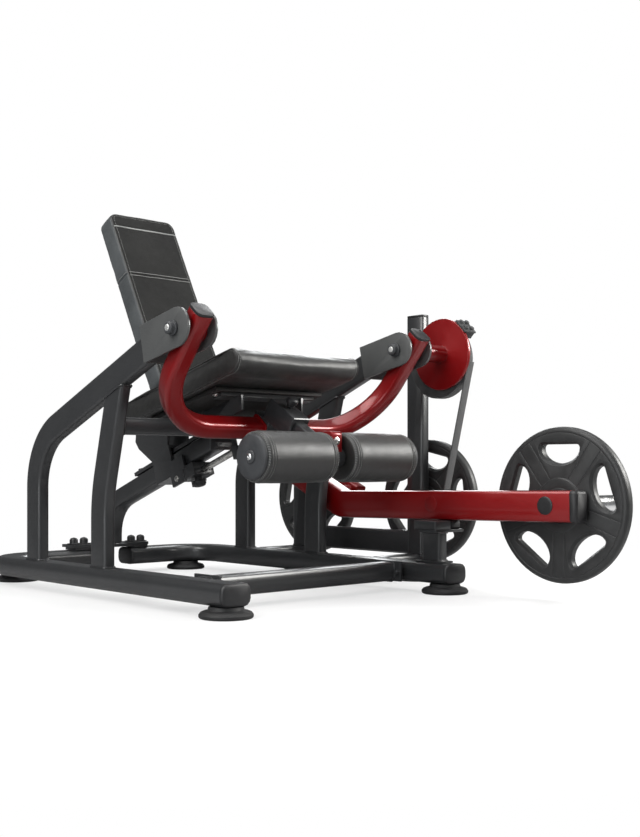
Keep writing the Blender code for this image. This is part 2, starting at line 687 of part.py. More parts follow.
# distance forward along the rail, radius
CYLINDER_PROFILE = ((0.146, 0.0066), (0.146, 0.0105), (0.310, 0.0105), (0.310, 0.0),
                    (0.305, 0.0), (0.305, 0.0066))
STRUT_ROD_PROFILE = ((0.1403, 0), (0.1403, 0.0060), (0.295, 0.0060), (0.295, 0))

# corner rounding of the back pad: sign across, sign up, start angle, radius
BACK_CORNERS = ((1, 1, 0, 0.035), (-1, 1, 90, 0.035), (-1, -1, 180, 0.020),
                (1, -1, 270, 0.020))
# distance from the back face, scale of the outline
BACK_LAYERS = ((0.0, 0.990), (0.006, 1.0), (BACK_T - 0.010, 1.0), (BACK_T, 0.965))


def back_carriage():
    """Box around the rail with side plates, a lower block and the back rest's bar."""
    carriage = box((-0.0435, -0.0615, -0.0435), (0.0435, 0.040, 0.0605), place=on_rail)
    parts = []
    for x0, x1 in CHEEKS:
        parts += [box((x0, -0.030, -0.0435), (x1, 0.100, 0.004), place=on_rail),
                  box((x0, 0.020, -0.0800), (x1, 0.090, -0.0400), place=on_rail),
                  prism(CHEEK_OUTLINE, x0, x1)]
    join(carriage, parts)
    # passage for the rail and its slide bar
    cut(carriage, [box((-0.0335, -CUT_REACH, -0.0335), (0.0335, CUT_REACH, 0.0505),
                       place=on_rail)])
    join(carriage, [box((-0.0400, 0.060, -0.0750), (0.0400, 0.140, -0.0345), place=on_rail),
                    box((-0.0380, 0.002, -0.0630), (0.0380, 0.380, -0.0126), place=on_back)])
    cut(carriage, [rod(on_rail(0, KNOB_AT, -CUT_REACH), on_rail(0, KNOB_AT, 0.0),
                       PIN_HOLE_R, 16)])
    finish(carriage, "back_carriage", "frame", CARRIAGE_PIVOT)


def back_board():
    board = box((-0.110, 0.030, -0.0123), (0.110, 0.635, -0.0003), place=on_back)
    finish(board, "back_board", "wood", CARRIAGE_PIVOT)


def back_pad():
    middle = BACK_LEN / 2
    outline = []                  # x, distance up the pad
    for across, up, start, radius in BACK_CORNERS:
        cx = across * (BACK_W / 2 - radius)
        cy = BACK_LEN - radius if up > 0 else radius
        for i in range(5):
            a = math.radians(start + 90 * i / 4)
            outline.append((cx + radius * math.cos(a), cy + radius * math.sin(a)))
    pad = loft([[on_back(x * scale, middle + (t - middle) * scale, depth) for x, t in outline]
                for depth, scale in BACK_LAYERS])
    finish(pad, "back_pad", "leather", CARRIAGE_PIVOT)


def strut():
    """Fixed cylinder under the rail, and the rod that the carriage carries."""
    origin = on_rail(0, 0, STRUT_N)
    cylinder = lathe(CYLINDER_PROFILE, origin, RAIL_FORWARD, 20, closed=True)
    finish(cylinder, "strut_cylinder", "silver")
    strut_rod = lathe(STRUT_ROD_PROFILE, origin, RAIL_FORWARD, 20)
    finish(strut_rod, "strut_rod", "chrome", CARRIAGE_PIVOT)


def position_knob():
    knob = lathe(KNOB_PROFILE, on_rail(0, KNOB_AT, 0), RAIL_DOWN, 16)
    finish(knob, "position_knob", "plastic", on_rail(0, KNOB_AT, -KNOB_SHOULDER))


# ====================================================================== yoke
YOKE_SECTION = rounded(0.056, 0.058, 0.014, 2)
YOKE_TOP_Y, YOKE_TOP_Z = -0.055, 0.789
YOKE_Y, YOKE_Z = 0.180, 0.502     # bottom run of the yoke
YOKE_BEND_R = 0.200
YOKE_CAP_T = 0.009
HUB_R, HUB_HALF = 0.0300, 0.0405  # hub that joins each arm to its sleeve
SLEEVE_R, SLEEVE_FIT = 0.0180, 0.0004
HUB_CUT_REACH = 0.1
SHAFT_RIGHT_LEN = BRACKET_W + 0.006
SHAFT_LEFT_END = 0.646            # X where the left shaft ends, beyond the cam


def yoke_arms():
    for tag, sign in SIDES:
        x = sign * SIDE_X
        top = Vector((x, YOKE_TOP_Y, YOKE_TOP_Z))
        path = fillet([top, (x, YOKE_Y, YOKE_Z),
                       (sign * (HOUSING_HALF + GAP), YOKE_Y, YOKE_Z)], YOKE_BEND_R, 10)
        arm = sweep(path, YOKE_SECTION)
        join(arm, [x_rod(x - HUB_HALF, x + HUB_HALF, 0, KNEE_Z, HUB_R, 32)])
        cut(arm, [x_rod(x - HUB_CUT_REACH, x + HUB_CUT_REACH, 0, KNEE_Z,
                        SLEEVE_R + SLEEVE_FIT)])
        finish(arm, "yoke_arm_" + tag, "red", KNEE)
        upwards = Vector((0, YOKE_TOP_Y - YOKE_Y, YOKE_TOP_Z - YOKE_Z)).normalized()
        cap = sweep([top + upwards * GAP, top + upwards * YOKE_CAP_T], YOKE_SECTION)
        finish(cap, "yoke_end_cap_" + tag, "plastic", KNEE)


def knee_sleeves():
    """Sleeves between the bracket plates, turning with the arms."""
    half = BRACKET_W / 2 - BRACKET_T - BRACKET_PLAY
    profile = [(-half, BORE_R), (-half, SLEEVE_R), (half, SLEEVE_R), (half, BORE_R)]
    for tag, sign in SIDES:
        sleeve = lathe(profile, (sign * SIDE_X, 0, KNEE_Z), closed=True, phase=0.5)
        finish(sleeve, "knee_sleeve_" + tag, "bronze", KNEE)


def knee_shafts():
    """Shafts with a stepped head on the -X side of each bracket."""
    for tag, sign in SIDES:
        x = sign * SIDE_X - BRACKET_W / 2 - BRACKET_PLAY
        length = SHAFT_RIGHT_LEN if sign < 0 else SHAFT_LEFT_END - x
        shaft = lathe([(-0.0200, 0), (-0.0200, 0.0130), (-0.0170, 0.0170), (-0.0060, 0.0170),
                       (-0.0060, 0.0210), (0, 0.0210), (0, SHAFT_R), (length, SHAFT_R),
                       (length, 0)], (x, 0, KNEE_Z), phase=0.5)
        finish(shaft, "knee_shaft_" + tag, "steel", KNEE)


# ============================================================== cam and belt
CAM_X, CAM_T, CAM_R, CAM_CHAMFER = 0.579, 0.012, 0.115, 0.002
# distance from the disc's inner face, radius
CAM_PROFILE = ((-0.1105, BORE_R), (-0.1105, 0.0275), (-0.1100, 0.0280), (0, 0.0280),
               (0, CAM_R - CAM_CHAMFER), (CAM_CHAMFER, CAM_R),
               (CAM_T - CAM_CHAMFER, CAM_R), (CAM_T, CAM_R - CAM_CHAMFER), (CAM_T, BORE_R))
DRUM_X = (CAM_X + CAM_T + GAP, 0.626)
DRUM_Y, DRUM_Z, DRUM_R = 0.026, 0.730, 0.117      # eccentric to the knee axis
DRUM_CUT_X = (0.55, 0.70)
BELT_X, BELT_T = (0.593, 0.624), 0.004
BELT_GAP = 0.0008                 # between drum and wrap, and between wrap and strap
WRAP_R = DRUM_R + BELT_GAP
WRAP_START, WRAP_END, WRAP_STEPS = 128, 304, 24   # degrees from +Y towards +Z
STRAP_Y, STRAP_Z = 0.0, 0.3150    # lower end of the strap
STRAP_OVERRUN = 0.020             # length past the tangent point

# clamp: 135 degrees from +Y towards +Z is up and forward of the knee axis
c, s = cos_sin(math.radians(135))
on_clamp = tilted_frame((0, KNEE_Z), (-s, c), (c, s))   # along the rim, then outwards
CLAMP_BOLT_X, CLAMP_BOLT_ALONG = (0.590, 0.616), (-0.015, 0.013)
CLAMP_BOLT_OUT, CLAMP_BOLT_R = (0.1200, 0.1285), 0.0085


def cam():
    """Disc with a hub reaching inwards, and the eccentric drum on its outer side."""
    disc = lathe(CAM_PROFILE, (CAM_X, 0, KNEE_Z), sides=36, closed=True)
    finish(disc, "cam_disc", "red", KNEE)
    width = DRUM_X[1] - DRUM_X[0]
    drum = lathe([(0, 0), (0, DRUM_R), (width, DRUM_R), (width, 0)],
                 (DRUM_X[0], DRUM_Y, DRUM_Z), sides=40)
    cut(drum, [x_rod(*DRUM_CUT_X, 0, KNEE_Z, BORE_R)])
    finish(drum, "cam_drum", "iron", KNEE)


def belt_wrap():
    x0, x1 = BELT_X
    inner, outer = WRAP_R, WRAP_R + BELT_T
    rings = []
    for i in range(WRAP_STEPS + 1):
        c, s = cos_sin(math.radians(WRAP_START + (WRAP_END - WRAP_START) * i / WRAP_STEPS))
        rings.append([(x, DRUM_Y + r * c, DRUM_Z + r * s)
                      for x, r in ((x0, inner), (x1, inner), (x1, outer), (x0, outer))])
    finish(loft(rings), "belt_wrap", "belt", KNEE)


def belt_clamp():
    """Plate and block across the drum's rim, with four bolt heads."""
    clamp = box((0.576, -0.027, 0.1156), (0.630, 0.027, 0.1212), place=on_clamp)
    parts = [box((0.5922, -0.024, 0.0914), (0.6300, 0.024, 0.1180), place=on_clamp)]
    for x in CLAMP_BOLT_X:
        for along in CLAMP_BOLT_ALONG:
            ends = [on_clamp(x, along, out) for out in CLAMP_BOLT_OUT]
            parts.append(rod(*ends, CLAMP_BOLT_R, 6))
    join(clamp, parts)
    finish(clamp, "belt_clamp", "iron", KNEE)


def belt_strap():
    """Free run of the belt, from above the lever's peg to its tangent on the drum."""
    to_y, to_z = DRUM_Y - STRAP_Y, DRUM_Z - STRAP_Z
    distance = math.hypot(to_y, to_z)
    radius = WRAP_R + BELT_T + BELT_GAP + BELT_T / 2     # to the strap's middle
    lean = math.atan2(to_y, to_z) - math.asin(radius / distance)
    length = math.sqrt(distance ** 2 - radius ** 2) + STRAP_OVERRUN
    start = Vector(((BELT_X[0] + BELT_X[1]) / 2, STRAP_Y, STRAP_Z))
    end = start + Vector((0, math.sin(lean), math.cos(lean))) * length
    half_w, half_t = (BELT_X[1] - BELT_X[0]) / 2, BELT_T / 2
    strap = sweep([start, end], [(-half_w, -half_t), (half_w, -half_t),
                                 (half_w, half_t), (-half_w, half_t)])
    finish(strap, "belt_strap", "belt")


# ================================================ roller arm and its housing
ROLL_Y, ROLL_Z, ROLL_R = -0.104, 0.414, 0.0700
ROLL_AXIS = (0, ROLL_Y, ROLL_Z)
ROLL_IN, ROLL_OUT = 0.031, 0.283      # ends of each pad, from the centre plane
ROLL_BORE_R = BORE_R + 0.0002
HOUSING_Y, HOUSING_Z = 0.100, 0.535

# roller arm: from the housing forward and down to the roller, then up and forward
STEM = Vector(ROLL_AXIS) - Vector((0, HOUSING_Y, HOUSING_Z))
STEM_DIR = STEM.normalized()
STEM_NORMAL = Vector((0, STEM_DIR.z, -STEM_DIR.y))
on_stem = tilted_frame((HOUSING_Y, HOUSING_Z), STEM_DIR.yz, STEM_NORMAL.yz)

HOUSING_BEVEL = 0.003
PASSAGE_HALF = 0.0206             # square passage for the roller arm
STEM_HALF = 0.0200
PIN_AT = 0.010                    # position of the pop pin along the arm
PIN_SHOULDER = 0.0403
# distance from the arm's centre line, radius
PIN_PROFILE = ((0.0212, 0), (0.0212, 0.0050), (PIN_SHOULDER, 0.0050), (PIN_SHOULDER, 0.0120),
               (0.0480, 0.0120), (0.0500, 0.0170), (0.0620, 0.0175), (0.0660, 0.0130),
               (0.0670, 0))
ROLL_LEN = ROLL_OUT - ROLL_IN
# distance from the inner end, radius
ROLL_PROFILE = ((0, ROLL_BORE_R), (0, 0.0600), (0.005, 0.0675), (0.014, ROLL_R),
                (ROLL_LEN - 0.014, ROLL_R), (ROLL_LEN - 0.005, 0.0675), (ROLL_LEN, 0.0600),
                (ROLL_LEN, ROLL_BORE_R))
ROLL_CAP_PROFILE = ((GAP, ROLL_BORE_R), (GAP, 0.0620), (0.0080, 0.0610),
                    (0.0100, 0.0580), (0.0100, ROLL_BORE_R))


def adjuster_housing():
    """Sleeve round the roller arm, and a block joining it to the yoke."""
    housing = box((-HOUSING_HALF, -0.050, -0.034), (HOUSING_HALF, 0.075, 0.034),
                  HOUSING_BEVEL, on_stem)
    block_half = HOUSING_HALF - 0.0004
    join(housing, [box((-block_half, -0.092, -0.106), (block_half, -0.016, -0.030),
                       HOUSING_BEVEL, on_stem)])
    cut(housing, [box((-PASSAGE_HALF, -CUT_REACH, -PASSAGE_HALF),
                      (PASSAGE_HALF, CUT_REACH, PASSAGE_HALF), place=on_stem),
                  rod(on_stem(0, PIN_AT, 0.0), on_stem(0, PIN_AT, CUT_REACH),
                      PIN_HOLE_R, 16)])
    finish(housing, "adjuster_housing", "frame", KNEE)


def roller_arm():
    """Square stem, with an upright block, a boss and the roller shaft at its end."""
    arm = box((-STEM_HALF, -0.056, -STEM_HALF), (STEM_HALF, STEM.length, STEM_HALF),
              place=on_stem)
    join(arm, [box((-0.0195, ROLL_Y - 0.022, ROLL_Z), (0.0195, ROLL_Y + 0.022, ROLL_Z + 0.073)),
               x_rod(-0.0295, 0.0295, ROLL_Y, ROLL_Z, 0.0270),
               x_rod(-0.2970, 0.2970, ROLL_Y, ROLL_Z, SHAFT_R)])
    finish(arm, "roller_arm", "red", (0, HOUSING_Y, HOUSING_Z))


def roller_pop_pin():
    pin = lathe(PIN_PROFILE, on_stem(0, PIN_AT, 0.0), STEM_NORMAL, 16)
    finish(pin, "roller_pop_pin", "plastic", on_stem(0, PIN_AT, PIN_SHOULDER))


def rollers():
    for tag, sign in SIDES:
        pad = lathe(ROLL_PROFILE, (sign * ROLL_IN, ROLL_Y, ROLL_Z), sign * X_AXIS, 28,
                    closed=True)
        finish(pad, "roller_pad_" + tag, "leather", ROLL_AXIS)
        cap = lathe(ROLL_CAP_PROFILE, (sign * ROLL_OUT, ROLL_Y, ROLL_Z), sign * X_AXIS,
                    closed=True)
        finish(cap, "roller_cap_" + tag, "plastic", ROLL_AXIS)


# ============================================================== weight lever
LEVER_PIVOT = (0.54, LEVER_Y, LEVER_Z)
LEVER_X, LEVER_W = 0.489, 0.060
LEVER_SECTION = rounded(LEVER_W, 0.090, 0.010, 2)
CORNER_Y, CORNER_Z = 0.353, 0.262
LEVER_FRONT_Y, LEVER_FRONT_Z = -0.577, 0.277
LEVER_BEND_R = 0.070
LEVER_CAP_BULGE = 0.022
BRANCH_X, BRANCH_Y = 0.6000, 0.400    # second arm, from its lower end up to the pivot
BRANCH_SECTION = rounded(0.050, 0.079, 0.010, 2)
LINK_Y = BRANCH_Y + 0.030             # cross link from the lever to the second arm
LINK_SECTION = rounded(0.050, 0.050, 0.008, 1)
PIVOT_BOSS_X, PIVOT_BOSS_R = (0.4560, 0.6270), 0.0440
PEG_END_X, PEG_Z, PEG_R = 0.6400, 0.2960, 0.0120      # peg under the belt strap
LEVER_BORE_X = (0.40, 0.70)
LEVER_HORN_X = LEVER_X + LEVER_W / 2 + GAP
LOADED_X = LEVER_HORN_X + 0.002

# hand holes of the plates, as fractions of the plate's radius
HOLE_FLAT, HOLE_HALF_W, HOLE_INNER = 0.775, 0.290, 0.530
HOLE_CORNER_IN, HOLE_CORNER_W = 0.012, 0.009      # chamfer of the flat side's corners
PLATE_CUT_REACH = 0.02
# name, x of the inner face, y, z, radius, angle of the first hole in degrees
PLATES = (
    ("lever_weight_plate", LOADED_X, HORN_Y, HORN_Z, PLATE_R, 90.0),
    ("stored_plate_front", 0.6995, OUTER_FRONT_Y, STORE_Z, STORED_R, 78.0),
    ("stored_plate_rear", 0.7095, OUTER_REAR_Y, STORE_Z, STORED_R, 96.0),
)


def slope_point(x, y):
    """Point on the lever's rising rear run."""
    rise = (LEVER_Z - CORNER_Z) / (LEVER_Y - CORNER_Y)
    return x, y, CORNER_Z + (y - CORNER_Y) * rise


def weight_lever():
    lever = sweep(fillet([(LEVER_X, LEVER_FRONT_Y, LEVER_FRONT_Z),
                          (LEVER_X, CORNER_Y, CORNER_Z), (LEVER_X, LEVER_Y, LEVER_Z)],
                         LEVER_BEND_R, 5), LEVER_SECTION)
    join(lever, [
        sweep([slope_point(BRANCH_X, BRANCH_Y), (BRANCH_X, LEVER_Y, LEVER_Z)], BRANCH_SECTION),
        sweep([slope_point(LEVER_X, LINK_Y), slope_point(BRANCH_X, LINK_Y)],
              LINK_SECTION, Y_AXIS),
        x_rod(*PIVOT_BOSS_X, LEVER_Y, LEVER_Z, PIVOT_BOSS_R),
        x_rod(LEVER_X, PEG_END_X, 0.0, PEG_Z, PEG_R, 16),
        box((0.510, -0.020, 0.2700), (0.527, 0.020, 0.3040))])    # block at the peg's root
    cut(lever, [x_rod(*LEVER_BORE_X, LEVER_Y, LEVER_Z, BORE_R)])
    finish(lever, "weight_lever", "red", LEVER_PIVOT)


def lever_end_cap():
    slope = math.atan2(LEVER_FRONT_Z - CORNER_Z, CORNER_Y - LEVER_FRONT_Y)
    forward = Vector((0, -math.cos(slope), math.sin(slope)))
    cap = end_cap((LEVER_X, LEVER_FRONT_Y, LEVER_FRONT_Z), forward, LEVER_SECTION,
                  LEVER_CAP_BULGE)
    finish(cap, "lever_end_cap", "plastic", LEVER_PIVOT)


def lever_horn():
    length = HORN_END - LEVER_HORN_X
    horn = lathe([(0, 0), (0, HORN_R), (length - HORN_CHAMFER, HORN_R),
                  (length, HORN_R - HORN_CHAMFER), (length, 0)],
                 (LEVER_HORN_X, HORN_Y, HORN_Z), sides=28)
    finish(horn, "lever_horn", "chrome", LEVER_PIVOT)


def hand_hole(radius):
    """D-shaped outline as (across, outwards) from the plate's centre, flat side outwards."""
    flat, half = radius * HOLE_FLAT, radius * HOLE_HALF_W
    shoulder = flat - HOLE_CORNER_IN
    depth = shoulder - radius * HOLE_INNER
    outline = []
    for i in range(9):
        a = math.radians(180 + 180 * i / 8)
        outline.append((half * math.cos(a), shoulder + depth * math.sin(a)))
    outline += [(half - HOLE_CORNER_W, flat), (HOLE_CORNER_W - half, flat)]
    return outline


def weight_plate(x, y, z, radius, spin):
    """Flat turned disc with a low hub and five hand holes."""
    t = PLATE_T
    profile = [(0.000, 0.0256), (0.000, 0.0765), (0.003, 0.0795), (0.003, radius - 0.0100),
               (0.009, radius), (t - 0.009, radius), (t - 0.003, radius - 0.0100),
               (t - 0.003, 0.0795), (t, 0.0765), (t, 0.0256)]
    plate = lathe(profile, (x, y, z), sides=32, closed=True)
    cutters = []
    for i in range(5):
        c, s = cos_sin(math.radians(spin + 72 * i))
        on_plate = tilted_frame((y, z), (s, c), (-c, s))
        cutters.append(prism(outline_in(on_plate, hand_hole(radius)),
                             x - PLATE_CUT_REACH, x + t + PLATE_CUT_REACH))
    cut(plate, cutters)
    return plate


def weight_plates():
    for name, x, y, z, radius, spin in PLATES:
        finish(weight_plate(x, y, z, radius, spin), name, "rubber", (x, y, z))


# ===================================================================== build
for old in list(bpy.data.objects):
    bpy.data.objects.remove(old, do_unlink=True)

for build in (
    side_frames, lever_axle, floor_end_caps, front_cross_tube, seat_cross_beam,
    centre_spine, spine_bolts, outer_lever_frame, outer_post_cap, storage_horns,
    feet, lever_stop, knee_brackets, seat_frame, seat_board, seat_pad,
    back_carriage, back_board, back_pad, strut, position_knob,
    yoke_arms, knee_sleeves, knee_shafts, cam, belt_wrap, belt_clamp, belt_strap,
    adjuster_housing, roller_arm, roller_pop_pin, rollers,
    weight_lever, lever_end_cap, lever_horn, weight_plates,
):
    build()

bpy.context.view_layer.update()
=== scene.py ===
import json
import math
import bpy
import bmesh
from mathutils import Vector, Matrix, noise
from mathutils.bvhtree import BVHTree
from mathutils.kdtree import KDTree


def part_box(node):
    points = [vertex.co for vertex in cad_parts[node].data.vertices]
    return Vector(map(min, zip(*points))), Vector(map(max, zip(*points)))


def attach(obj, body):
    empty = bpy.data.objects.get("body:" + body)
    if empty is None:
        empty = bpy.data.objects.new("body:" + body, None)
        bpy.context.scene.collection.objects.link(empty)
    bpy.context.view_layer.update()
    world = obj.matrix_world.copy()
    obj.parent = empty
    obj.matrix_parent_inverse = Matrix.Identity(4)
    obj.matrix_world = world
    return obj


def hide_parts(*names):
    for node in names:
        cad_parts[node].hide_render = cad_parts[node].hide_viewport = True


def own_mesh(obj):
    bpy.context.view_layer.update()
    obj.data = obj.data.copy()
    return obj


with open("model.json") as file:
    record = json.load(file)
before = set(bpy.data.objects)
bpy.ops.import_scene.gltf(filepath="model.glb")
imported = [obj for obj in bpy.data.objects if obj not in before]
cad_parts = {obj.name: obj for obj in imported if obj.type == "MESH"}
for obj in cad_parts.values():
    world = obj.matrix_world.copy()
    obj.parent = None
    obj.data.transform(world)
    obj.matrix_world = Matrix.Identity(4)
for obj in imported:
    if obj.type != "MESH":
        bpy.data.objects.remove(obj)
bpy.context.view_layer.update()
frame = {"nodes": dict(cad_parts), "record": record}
NODES = frame["nodes"]
SCENE = bpy.context.scene
RAD = math.radians
SHIFT = Vector((-0.1765, -0.205, -0.007))
SIDES = (("right", -1), ("left", 1))

# ------------------------------------------------------------ size constants
# Side frames: floor tube, two uprights and a sloping upper tube on each side
SIDE_X, FLOOR_Z, FLOOR_W, FLOOR_H = 0.417, 0.067, 0.095, 0.060
FRONT_Y, REAR_Y, FLOOR_BEND, FLOOR_CORNER = -0.199, 1.080, 0.140, 0.0225
HALF_END_R, HALF_END_L = -0.040, 0.100        # inner ends of the rear floor tubes
POST_D, POST_W, POST_CORNER = 0.080, 0.040, 0.012
REAR_POST_Y, FRONT_POST_Y, POST_FOOT_Z = 0.795, 0.418, 0.080
TOP_Y, TOP_Z, TOP_SLOPE = 0.566, 0.551, RAD(21.9)     # a point on the upper tube's axis
KNEE_Z = 0.748
BRACKET_TILT, BRACKET_W, BRACKET_BACK = RAD(12.0), 0.098, 0.150
GAP = 0.0003
# Posts that hold the stored plates
OUTER_X, STORE_FRONT_Y, STORE_REAR_Y, STORE_Z = 0.660, 0.173, 0.754, 0.275
# Yoke, from the knee axis down to the housing in the middle
ARM_W, ARM_D = 0.056, 0.058
ARM_TOP_Y, ARM_TOP_Z = -0.055, 0.789
YOKE_Y, YOKE_Z, HOUSING_HALF = 0.180, 0.502, 0.0320
ARM_RUN = (0, 0.6335, -0.7737)                # unit vector down the slanted tubes
# Foam rollers
ROLL_Y, ROLL_Z, ROLL_R = -0.104, 0.414, 0.0700
ROLL_IN, ROLL_OUT, SHAFT_R = 0.031, 0.283, 0.0125
ROLL_LEN = ROLL_OUT - ROLL_IN
# Cushions
SEAT_W, SEAT_TILT, SEAT_Y, SEAT_Z = 0.475, RAD(14.0), 0.057, 0.723
SEAT_LEN, SEAT_T = 0.572, 0.078
BACK_W, BACK_LEN, BACK_T, BACK_TILT = 0.260, 0.665, 0.077, RAD(27.7)
BACK_TOP_Y, BACK_TOP_Z = 0.840, 1.2385
BACK_COS, BACK_SIN = math.cos(BACK_TILT), math.sin(BACK_TILT)
BACK_Y = BACK_TOP_Y - BACK_LEN * BACK_SIN + BACK_T * BACK_COS
BACK_Z = BACK_TOP_Z - BACK_LEN * BACK_COS - BACK_T * BACK_SIN
RAIL_TILT, RAIL_Y, RAIL_Z = RAD(19.5), 0.642, 0.389
# Weight lever
HORN_Y, HORN_Z, PLATE_T, LEVER_FACE_X = -0.495, 0.278, 0.042, 0.4589
BLOCK_Y, BLOCK_Z = 0.710, 0.430               # block inside the left rear upright


def rail_pt(x, ahead, above):
    """A point by its distance forward up the rail and its height off it."""
    cos, sin = math.cos(RAIL_TILT), math.sin(RAIL_TILT)
    return Vector((x, RAIL_Y - ahead * cos + above * sin, RAIL_Z + ahead * sin + above * cos))


def seat_pt(x, back, above):
    """A point by its distance back from the seat's front and its height off the top."""
    cos, sin = math.cos(SEAT_TILT), math.sin(SEAT_TILT)
    return Vector((x, SEAT_Y + back * cos + above * sin, SEAT_Z - back * sin + above * cos))


def seat_local(place):
    cos, sin = math.cos(SEAT_TILT), math.sin(SEAT_TILT)
    y, z = place.y - SEAT_Y, place.z - SEAT_Z
    return place.x, y * cos - z * sin, y * sin + z * cos


def back_pt(x, rise, out):
    """A point by its rise up the back rest and its distance out of the rear face."""
    return Vector((x, BACK_Y + rise * BACK_SIN - out * BACK_COS,
                   BACK_Z + rise * BACK_COS + out * BACK_SIN))


def back_local(place):
    y, z = place.y - BACK_Y, place.z - BACK_Z
    return place.x, y * BACK_SIN + z * BACK_COS, -y * BACK_COS + z * BACK_SIN


# ------------------------------------------------------------ material nodes
class Net:
    """The node tree of a material or world, with a method for each common node."""

    def __init__(self, owner):
        owner.use_nodes = True
        self.owner, self.tree = owner, owner.node_tree

    def plug(self, socket, value):
        """Links the socket to an output, or sets its value."""
        if isinstance(value, bpy.types.NodeSocket):
            self.tree.links.new(value, socket)
        elif socket.type == "RGBA":
            socket.default_value = (*value, 1.0)
        else:
            socket.default_value = value

    def node(self, kind, values=None, **props):
        made = self.tree.nodes.new("ShaderNode" + kind)
        for key, value in props.items():
            setattr(made, key, value)
        for key, value in (values or {}).items():
            self.plug(made.inputs[key], value)
        return made

    def coords(self, scale=(1, 1, 1)):
        source = self.node("TexCoord").outputs["Object"]
        return self.node("Mapping", {"Vector": source, "Scale": scale}).outputs["Vector"]

    def noise(self, place, scale, detail=3.0, rough=0.55):
        values = {"Vector": place, "Scale": scale, "Detail": detail, "Roughness": rough}
        return self.node("TexNoise", values).outputs["Fac"]

    def remap(self, value, span=(0.3, 0.7), to=(0.0, 1.0)):
        values = {"Value": value, "From Min": span[0], "From Max": span[1],
                  "To Min": to[0], "To Max": to[1]}
        return self.node("MapRange", values).outputs["Result"]

    def mix(self, factor, first, second):
        return self.node("Mix", {0: factor, 6: first, 7: second}, data_type="RGBA").outputs[2]

    def mix_shader(self, factor, first, second):
        return self.node("MixShader", {0: factor, 1: first, 2: second}).outputs[0]

    def math(self, operation, first, second):
        return self.node("Math", {0: first, 1: second}, operation=operation).outputs[0]

    def bump(self, height, strength, distance, normal=None):
        values = {"Strength": strength, "Distance": distance, "Height": height}
        if normal is not None:
            values["Normal"] = normal
        return self.node("Bump", values).outputs["Normal"]

    def rounding(self, radius):
        """Normal rounded over the edges."""
        return self.node("Bevel", {"Radius": radius}, samples=4).outputs[0]

    def edge_mask(self, normal):
        """1 where the rounded normal leaves the true one, which is on sharp edges."""
        true = self.node("NewGeometry").outputs["Normal"]
        dot = self.node("VectorMath", {0: normal, 1: true}, operation="DOT_PRODUCT")
        return self.remap(dot.outputs["Value"], span=(0.995, 0.90))

    def finish(self, **inputs):
        """Sets the inputs of the principled shader and returns the material."""
        shader = self.tree.nodes["Principled BSDF"]
        for key, value in inputs.items():
            self.plug(shader.inputs[key.replace("_", " ")], value)
        return self.owner


def new_net(name):
    return Net(bpy.data.materials.new(name))


def powder_coat(name, dark, light, rough=0.36, edge=(0.11, 0.115, 0.12)):
    """Semi-gloss powder coat: orange peel, faint blotches, paler edges that are partly wear and
    partly painted edge highlight.
    """
    net = new_net(name)
    place = net.coords()
    blotch = net.noise(place, scale=7.0, detail=5.0, rough=0.6)
    peel = net.noise(place, scale=950.0, detail=2.0, rough=0.5)
    scuff = net.noise(net.coords((60, 9, 60)), scale=4.0, detail=4.0, rough=0.7)
    normal = net.rounding(0.0016)
    patches = net.noise(place, scale=55.0, detail=4.0, rough=0.7)
    # sharp edges are mixed towards the pale edge colour in random patches: partly wear, partly
    # painted edge highlight
    edge_wear_and_highlight = net.math("MULTIPLY", net.edge_mask(normal),
                    net.remap(patches, span=(0.35, 0.75), to=(0.05, 0.55)))
    colour = net.mix(net.remap(blotch), dark, light)
    return net.finish(
        Base_Color=net.mix(edge_wear_and_highlight, colour, edge), Metallic=0.12, Specular_IOR_Level=0.5,
        Roughness=net.remap(scuff, span=(0.30, 0.75), to=(rough - 0.07, rough + 0.10)),
        Coat_Weight=0.35, Coat_Roughness=0.16,
        Normal=net.bump(peel, strength=0.16, distance=0.0006, normal=normal))


def candy_red(name):
    """Clear-coated metallic red: flake under the coat, darker at grazing angles, painted highlight
    on sharp edges.
    """
    net = new_net(name)
    place = net.coords()
    facing = net.node("LayerWeight", {"Blend": 0.38}).outputs["Facing"]
    flake = net.noise(place, scale=2600.0, detail=1.0, rough=0.5)
    blotch = net.noise(place, scale=5.0, detail=4.0)
    normal = net.rounding(0.0016)
    # painted edge highlight: sharp edges are mixed towards a pale red
    edge_wear_and_highlight = net.math("MULTIPLY", net.edge_mask(normal), 0.12)
    colour = net.mix(facing, (0.25, 0.0014, 0.0026), (0.065, 0.0004, 0.0008))
    colour = net.mix(net.remap(blotch, span=(0.35, 0.7), to=(0.0, 0.30)), colour,
                     (0.20, 0.002, 0.004))
    colour = net.mix(net.remap(flake, span=(0.62, 0.72), to=(0.0, 0.25)), colour,
                     (0.60, 0.02, 0.02))
    ripple = net.noise(place, scale=320.0, detail=2.0)
    return net.finish(
        Base_Color=net.mix(edge_wear_and_highlight, colour, (0.70, 0.10, 0.09)),
        Metallic=0.25, Coat_Weight=0.50, Specular_IOR_Level=0.30,
        Roughness=net.remap(net.noise(place, scale=40.0), to=(0.32, 0.42)),
        Coat_Roughness=net.remap(net.noise(place, scale=14.0), to=(0.07, 0.14)),
        Normal=net.bump(flake, strength=0.05, distance=0.0003, normal=normal),
        Coat_Normal=net.bump(ripple, strength=0.05, distance=0.0004, normal=normal))


